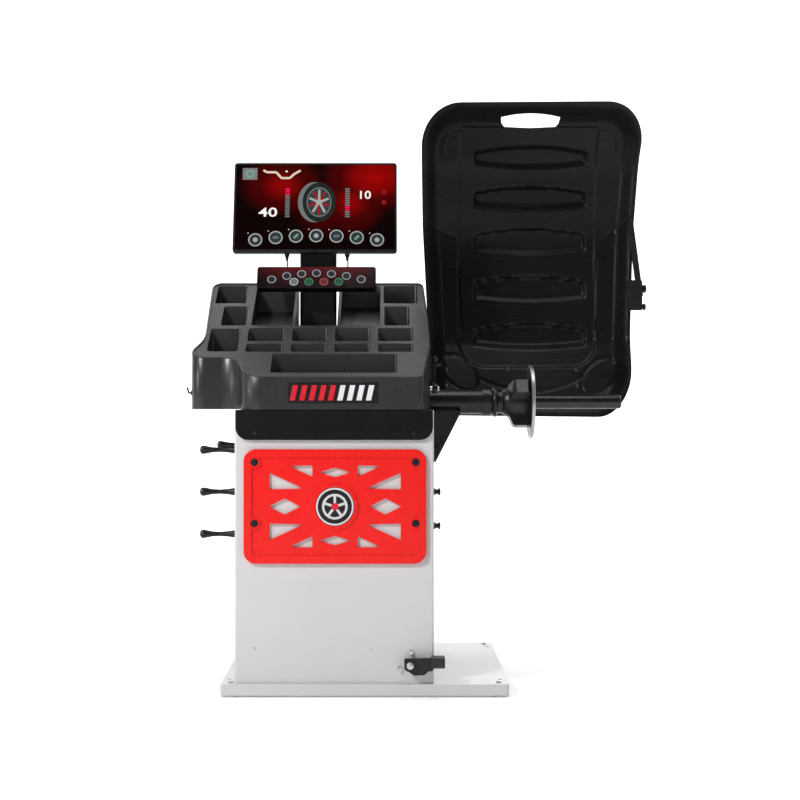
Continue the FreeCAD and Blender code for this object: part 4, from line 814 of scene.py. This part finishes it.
def edge_distance(x, z):
    """Distance in from the guard's rounded outline, seen from the front."""
    sides = (x - guard_side(z, 1), guard_side(z, 2) - x)
    column = 0 if sides[0] < sides[1] else 1
    foot_end = z < GUARD_WAIST_Z
    end = z - GUARD_SIDES[0][0] if foot_end else GUARD_SIDES[-1][0] - z
    wide, tall = (GUARD_FOOT_R if foot_end else GUARD_TOP_R)[column]
    side = sides[column]
    if side < wide and end < tall:
        return (1 - math.hypot(1 - side / wide, 1 - end / tall)) * (wide + tall) / 2
    return min(side, end)


def groove(distance, width, depth):
    """Smooth channel or ridge about a line."""
    return depth * (1 - ease(abs(distance) / width))


def rolled_edge(inset, z):
    """How far the rolled cheek stands forward, less so at the guard's foot."""
    height = GUARD_LIP * (1 - ease((inset - 0.005) / GUARD_CHEEK))
    return height * (0.35 + 0.65 * ease((z - GUARD_SIDES[0][0]) / 0.12))


def rib_depth(u, z):
    """Depth of the pressed ribs: flat floor, steep upper wall, broad lower wall."""
    if abs(u) >= 1.0:
        return 0.0
    for top, bottom, depth in RIBS:
        top_edge = top - 0.020 * u * u
        bottom_edge = bottom + 0.014 * u * u
        if bottom_edge < z < top_edge:
            upper = ease((top_edge - z) / 0.006)
            lower = (z - bottom_edge) / 0.020
            end = ease((1 - abs(u)) * RIB_HALF / 0.014)
            return depth * max(0.0, min(upper, lower, end))
    return 0.0


def field_depth(x, z):
    """Depth of the sunk field with its rounded lower corners."""
    inside_x = min(x - FIELD_LEFT, FIELD_RIGHT - x)
    inside_z = z - FIELD_FOOT
    if inside_x < FIELD_CORNER_R and inside_z < FIELD_CORNER_R:
        inside = FIELD_CORNER_R - math.hypot(FIELD_CORNER_R - inside_x, FIELD_CORNER_R - inside_z)
    else:
        inside = min(inside_x, inside_z)
    if z > FIELD_HEAD_FROM:
        inside = min(inside, FIELD_HEAD - z)
    return FIELD_STEP * ease((inside + 0.003) / 0.007)


def foot_arc(x, z):
    """Depth of the arched channel below the field."""
    v = (x - 0.524) / 0.168
    if abs(v) >= 1:
        return 0.0
    return groove(z - (0.843 + 0.045 * v * v), 0.006, 0.004) * ease((1 - abs(v)) / 0.08)


def leaf_depth(x, z, centre_x, centre_z, turn):
    """Depth of the channel round an oval leaf, whose inside stands a little proud."""
    dx, dz = x - centre_x, z - centre_z
    along = dx * math.cos(turn) + dz * math.sin(turn)
    across = -dx * math.sin(turn) + dz * math.cos(turn)
    ring = math.hypot(along / LEAF_LONG, across / LEAF_SHORT) - 1
    depth = groove(ring * 0.05, 0.005, 0.0035)
    return depth - 0.002 if ring < 0 else depth


def head_ridge(u, inset, z):
    """Height of the ridge that follows the upper corners."""
    if z <= 1.60:
        return 0.0
    return groove(inset - 0.072, 0.005, 0.0035) * ease((abs(u) - 1.0) / 0.25) * ease((z - 1.60) / 0.03)


def side_channel(x, z, side):
    """Depth of the upright channel beside the field, on the left (1) or right (2)."""
    if not 1.03 < z < 1.30:
        return 0.0
    inward = 0.112 if side == 1 else -0.112 - 0.05 * max(0.0, (z - 1.0) / 0.3 - 1)
    line = guard_side(z, side) + inward
    return groove(x - line, 0.005, 0.003) * ease((z - 1.03) / 0.02) * ease((1.30 - z) / 0.04)


def guard_relief(x, z):
    """How far the guard's front stands forward (+) or is pressed back (-), in metres."""
    inset = edge_distance(x, z)
    u = (x - RIB_CENTRE_X) / RIB_HALF
    height = rolled_edge(inset, z) - rib_depth(u, z) - field_depth(x, z) - foot_arc(x, z)
    for leaf in LEAVES:
        height -= leaf_depth(x, z, *leaf)
    height += head_ridge(u, inset, z)
    for side in (1, 2):
        height -= side_channel(x, z, side)
    for start, stop in FOLDS:
        height -= groove(crease(x, z, Vector(start), Vector(stop)), 0.007, 0.004)
    return height - groove(crease(x, z, Vector(SEAM[0]), Vector(SEAM[1])), 0.005, 0.0025)


def crease(x, z, start, stop):
    """Distance from a short crease between two points."""
    along = (stop - start).normalized()
    here = Vector((x, z)) - start
    reach = max(0.0, min((stop - start).length, here.dot(along)))
    return (here - along * reach).length


def guard_vertex(x, z, dense):
    """Front and back points of the sheet at a place on its front view."""
    y, lean = profile_at(dense, z)
    forward = y - guard_relief(x, z)
    thick = GUARD_SHEET * math.sqrt(1 + lean * lean)
    near = max(GUARD_LOW.y + 0.0002, forward)
    return (x, near, z), (x, min(GUARD_HIGH.y - 0.0002, near + thick), z)


def crowded(share, amount):
    """Share of the way across, with the steps smaller near both ends."""
    return share - amount * math.sin(2 * math.pi * share)


def outer_loop(layer):
    """Vertices round the edge of a grid of rows."""
    return [row[0] for row in layer] + layer[-1][1:] + [row[-1] for row in layer[-2::-1]] + layer[0][-2:0:-1]


def make_guard():
    """Formed guard with cheeks, pressed ribs, corner leaves and a handle slot."""
    dense = guard_profile()
    foot, head = GUARD_SIDES[0][0], GUARD_SIDES[-1][0]
    work = bmesh.new()
    front, back = [], []
    for i in range(GUARD_ROWS + 1):
        rise = crowded(i / GUARD_ROWS, 0.12)
        level = foot + (head - foot) * rise
        left = guard_side(level, 1) + corner_cut(level, 1)
        right = guard_side(level, 2) - corner_cut(level, 2)
        tilt = GUARD_FOOT_TILT + (GUARD_HEAD_TILT - GUARD_FOOT_TILT) * rise
        front_row, back_row = [], []
        for j in range(GUARD_COLUMNS + 1):
            x = left + (right - left) * crowded(j / GUARD_COLUMNS, 0.07)
            near, far = guard_vertex(x, level + (x - RIB_CENTRE_X) * tilt, dense)
            front_row.append(work.verts.new(near))
            back_row.append(work.verts.new(far))
        front.append(front_row)
        back.append(back_row)
    for layer in (front, back):
        for a, b in zip(layer, layer[1:]):
            for j in range(GUARD_COLUMNS):
                work.faces.new((a[j], a[j + 1], b[j + 1], b[j]))
    rim, rim_back = outer_loop(front), outer_loop(back)
    for k in range(len(rim)):
        n = (k + 1) % len(rim)
        work.faces.new((rim[k], rim[n], rim_back[n], rim_back[k]))
    guard = add_mesh("guard_hood", work, MATERIALS["guard_plastic"], "guard", 50)
    cut_handle_slot(guard)
    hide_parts("guard_shell")


def cut_handle_slot(guard):
    """Hand slot through the guard's head, its upper edge arched."""
    middle, half = (SLOT_LEFT + SLOT_RIGHT) / 2, (SLOT_RIGHT - SLOT_LEFT) / 2
    steps = [1 - i / 10 for i in range(21)]
    arch = [(middle + half * t, SLOT_TOP - 0.006 + 0.009 * (1 - t * t)) for t in steps]
    outline = [(SLOT_LEFT + 0.012, SLOT_FOOT + 0.002), (middle, SLOT_FOOT - 0.001),
               (SLOT_RIGHT - 0.012, SLOT_FOOT + 0.002), (SLOT_RIGHT - 0.003, SLOT_FOOT + 0.012)]
    outline += arch + [(SLOT_LEFT + 0.003, SLOT_FOOT + 0.012)]
    work = bmesh.new()
    matrix = plane_frame(Vector((0, 0.35, 0)), 0)
    add_prism(work, matrix, outline, -0.15, 0.15)
    bmesh.ops.recalc_face_normals(work, faces=work.faces)
    mesh = bpy.data.meshes.new("slot_cutter")
    work.to_mesh(mesh)
    work.free()
    cutter = add_object("slot_cutter", mesh)
    modifier = guard.modifiers.new("slot", "BOOLEAN")
    modifier.operation = "DIFFERENCE"
    modifier.solver = "EXACT"
    modifier.object = cutter
    pierced = final_mesh(guard)
    guard.modifiers.clear()
    guard.data = pierced
    bpy.data.objects.remove(cutter)


# ---------------------------------------------------------------- cables
LEAD_R = 2.1 * MM
LEADS_LOW, LEADS_HIGH = map(Vector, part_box("monitor_cables"))
LEAD_PLACES = (LEADS_LOW.x + 2.2 * MM, LEADS_HIGH.x - 2.2 * MM)


def make_cables():
    """Two short leads from the monitor's foot to the keypad's back."""
    low, high = LEADS_LOW, LEADS_HIGH
    for number, x in enumerate(LEAD_PLACES, start=1):
        curve = bpy.data.curves.new(f"monitor_lead_{number}", "CURVE")
        curve.dimensions = "3D"
        curve.bevel_depth = LEAD_R
        curve.bevel_resolution = 4
        curve.use_fill_caps = True
        route = [(x, 0.064, high.z + 0.022), (x - 0.001, 0.062, high.z + 0.004), (x + 0.003, 0.058, 1.232),
                 (x + 0.001, 0.056, 1.215), (x, 0.053, low.z - 0.002)]
        spline = curve.splines.new("NURBS")
        spline.points.add(len(route) - 1)
        for point, place in zip(spline.points, route):
            point.co = (*place, 1)
        spline.order_u = 3
        spline.use_endpoint_u = True
        source = add_object("lead_source", curve)
        mesh = final_mesh(source)
        bpy.data.objects.remove(source)
        lead = add_object(f"monitor_lead_{number}", mesh)
        mesh.materials.clear()
        mesh.materials.append(MATERIALS["cable_rubber"])
        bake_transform(lead)
        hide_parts("monitor_cables")


def make_plugs():
    """Tapered plugs under the monitor that its two leads leave from."""
    rings = [(0.0, 0.0085), (0.007, 0.0085), (0.009, 0.007), (0.015, 0.0052), (0.0155, 0.0045),
             (0.018, 0.0045), (0.0185, 0.005), (0.024, 0.0034), (0.026, 0.0026)]
    for number, x in enumerate(LEAD_PLACES, start=1):
        add_lathe(f"monitor_plug_{number}", rings, (x, 0.063, 1.262), (0, 0, -1), MATERIALS["black_plastic"],
                  "monitor")


def make_pedal_button():
    """Bright domed screw head on the pedal's pivot."""
    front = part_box("pedal_lever")[0][1]
    rings = [(0.0, 0.0102), (0.001, 0.0102), (0.0025, 0.009), (0.0036, 0.0062), (0.0038, 0.0035),
             (0.0026, 0.003)]
    add_lathe("pedal_pivot_screw", rings, (0.125, front, 0.090), (0, -1, 0), MATERIALS["zinc_steel"], "pedal")


# ---------------------------------------------------------------- stage
SHEET_SIZE = 240
BACKDROP_Y = 14
# the floor's glow grows between these two distances behind the machine
GLOW_START_Y, GLOW_END_Y = 0.6, 3.5
# name, place, point aimed at, size in metres and power in watts
SOFTBOXES = (("key_softbox", (-2.5, -3.1, 3.1), (0, 0, 0.9), 0.5, 138),
             ("fill_softbox", (2.9, -3.4, 2.2), (0.3, 0, 0.9), 1.3, 10),
             ("left_strip", (-2.6, -1.6, 1.3), (-0.3, -0.2, 0.9), 0.5, 14),
             ("top_softbox", (0.4, -0.6, 4.2), (0.1, 0, 0.8), 1.3, 30),
             ("rear_softbox", (1.2, 4.2, 3.4), (0.2, 0, 0.6), 1.8, 70))


def make_stage():
    """Pale floor, white backdrop, soft light and the camera."""
    add_sheet("floor", (0, 0, 0), (0, 0, 0), 0.9, (0.2, 1.0))
    add_sheet("backdrop", (0, BACKDROP_Y, 0), (math.pi / 2, 0, 0), 0.8, (1.0, 1.0))

    world = bpy.data.worlds.new("studio")
    bpy.context.scene.world = world
    world.use_nodes = True
    world.node_tree.nodes["Background"].inputs["Color"].default_value = (1, 1, 1, 1)
    world.node_tree.nodes["Background"].inputs["Strength"].default_value = 0.12
    for softbox in SOFTBOXES:
        add_light(*softbox)

    camera_data = bpy.data.cameras.new("camera")
    camera_data.lens = 72
    camera_data.sensor_width = 36
    camera_data.shift_x = 0.01875
    camera_data.shift_y = -0.00625
    camera = add_object("camera", camera_data)
    camera.location = (0.056, -4.770, 0.832)
    camera.rotation_euler = (math.pi / 2, 0, 0)
    bpy.context.scene.camera = camera
    bpy.context.scene.view_settings.view_transform = "Standard"


def add_sheet(name, place, turn, white, glow):
    """Large plain sheet of the stage, lit from within: glow is its strength in front and behind."""
    work = bmesh.new()
    bmesh.ops.create_grid(work, x_segments=1, y_segments=1, size=SHEET_SIZE / 2)
    mesh = bpy.data.meshes.new(name)
    work.to_mesh(mesh)
    work.free()
    sheet = add_object(name, mesh)
    sheet.location = place
    sheet.rotation_euler = turn
    s = Shader(f"{name}_paper", 0.95)
    s.colour(s.ramp(s.noise(2.0, 2.0), [(0.3, (white * 0.98,) * 3), (0.7, (white,) * 3)]))
    parts = s.add("ShaderNodeSeparateXYZ")
    s.link(s.place, parts.inputs["Vector"])
    s.surface.inputs["Emission Color"].default_value = (1, 1, 1, 1)
    strength = s.spread(parts.outputs["Y"], GLOW_START_Y, GLOW_END_Y, *glow)
    s.link(strength, s.surface.inputs["Emission Strength"])
    s.set(Specular_IOR_Level=0.1)
    mesh.materials.append(s.material)


def add_light(name, place, aim, size, power):
    """Square softbox aimed at a point."""
    data = bpy.data.lights.new(name, "AREA")
    data.size = size
    data.energy = power
    lamp = add_object(name, data)
    lamp.location = place
    lamp.rotation_euler = (Vector(aim) - Vector(place)).to_track_quat("-Z", "Y").to_euler()


make_stage()
finish_cad_nodes()
make_keypad_faces()
make_screen()
make_badge()
make_emblem()
make_rivets()
make_guard()
make_cables()
make_plugs()
make_pedal_button()
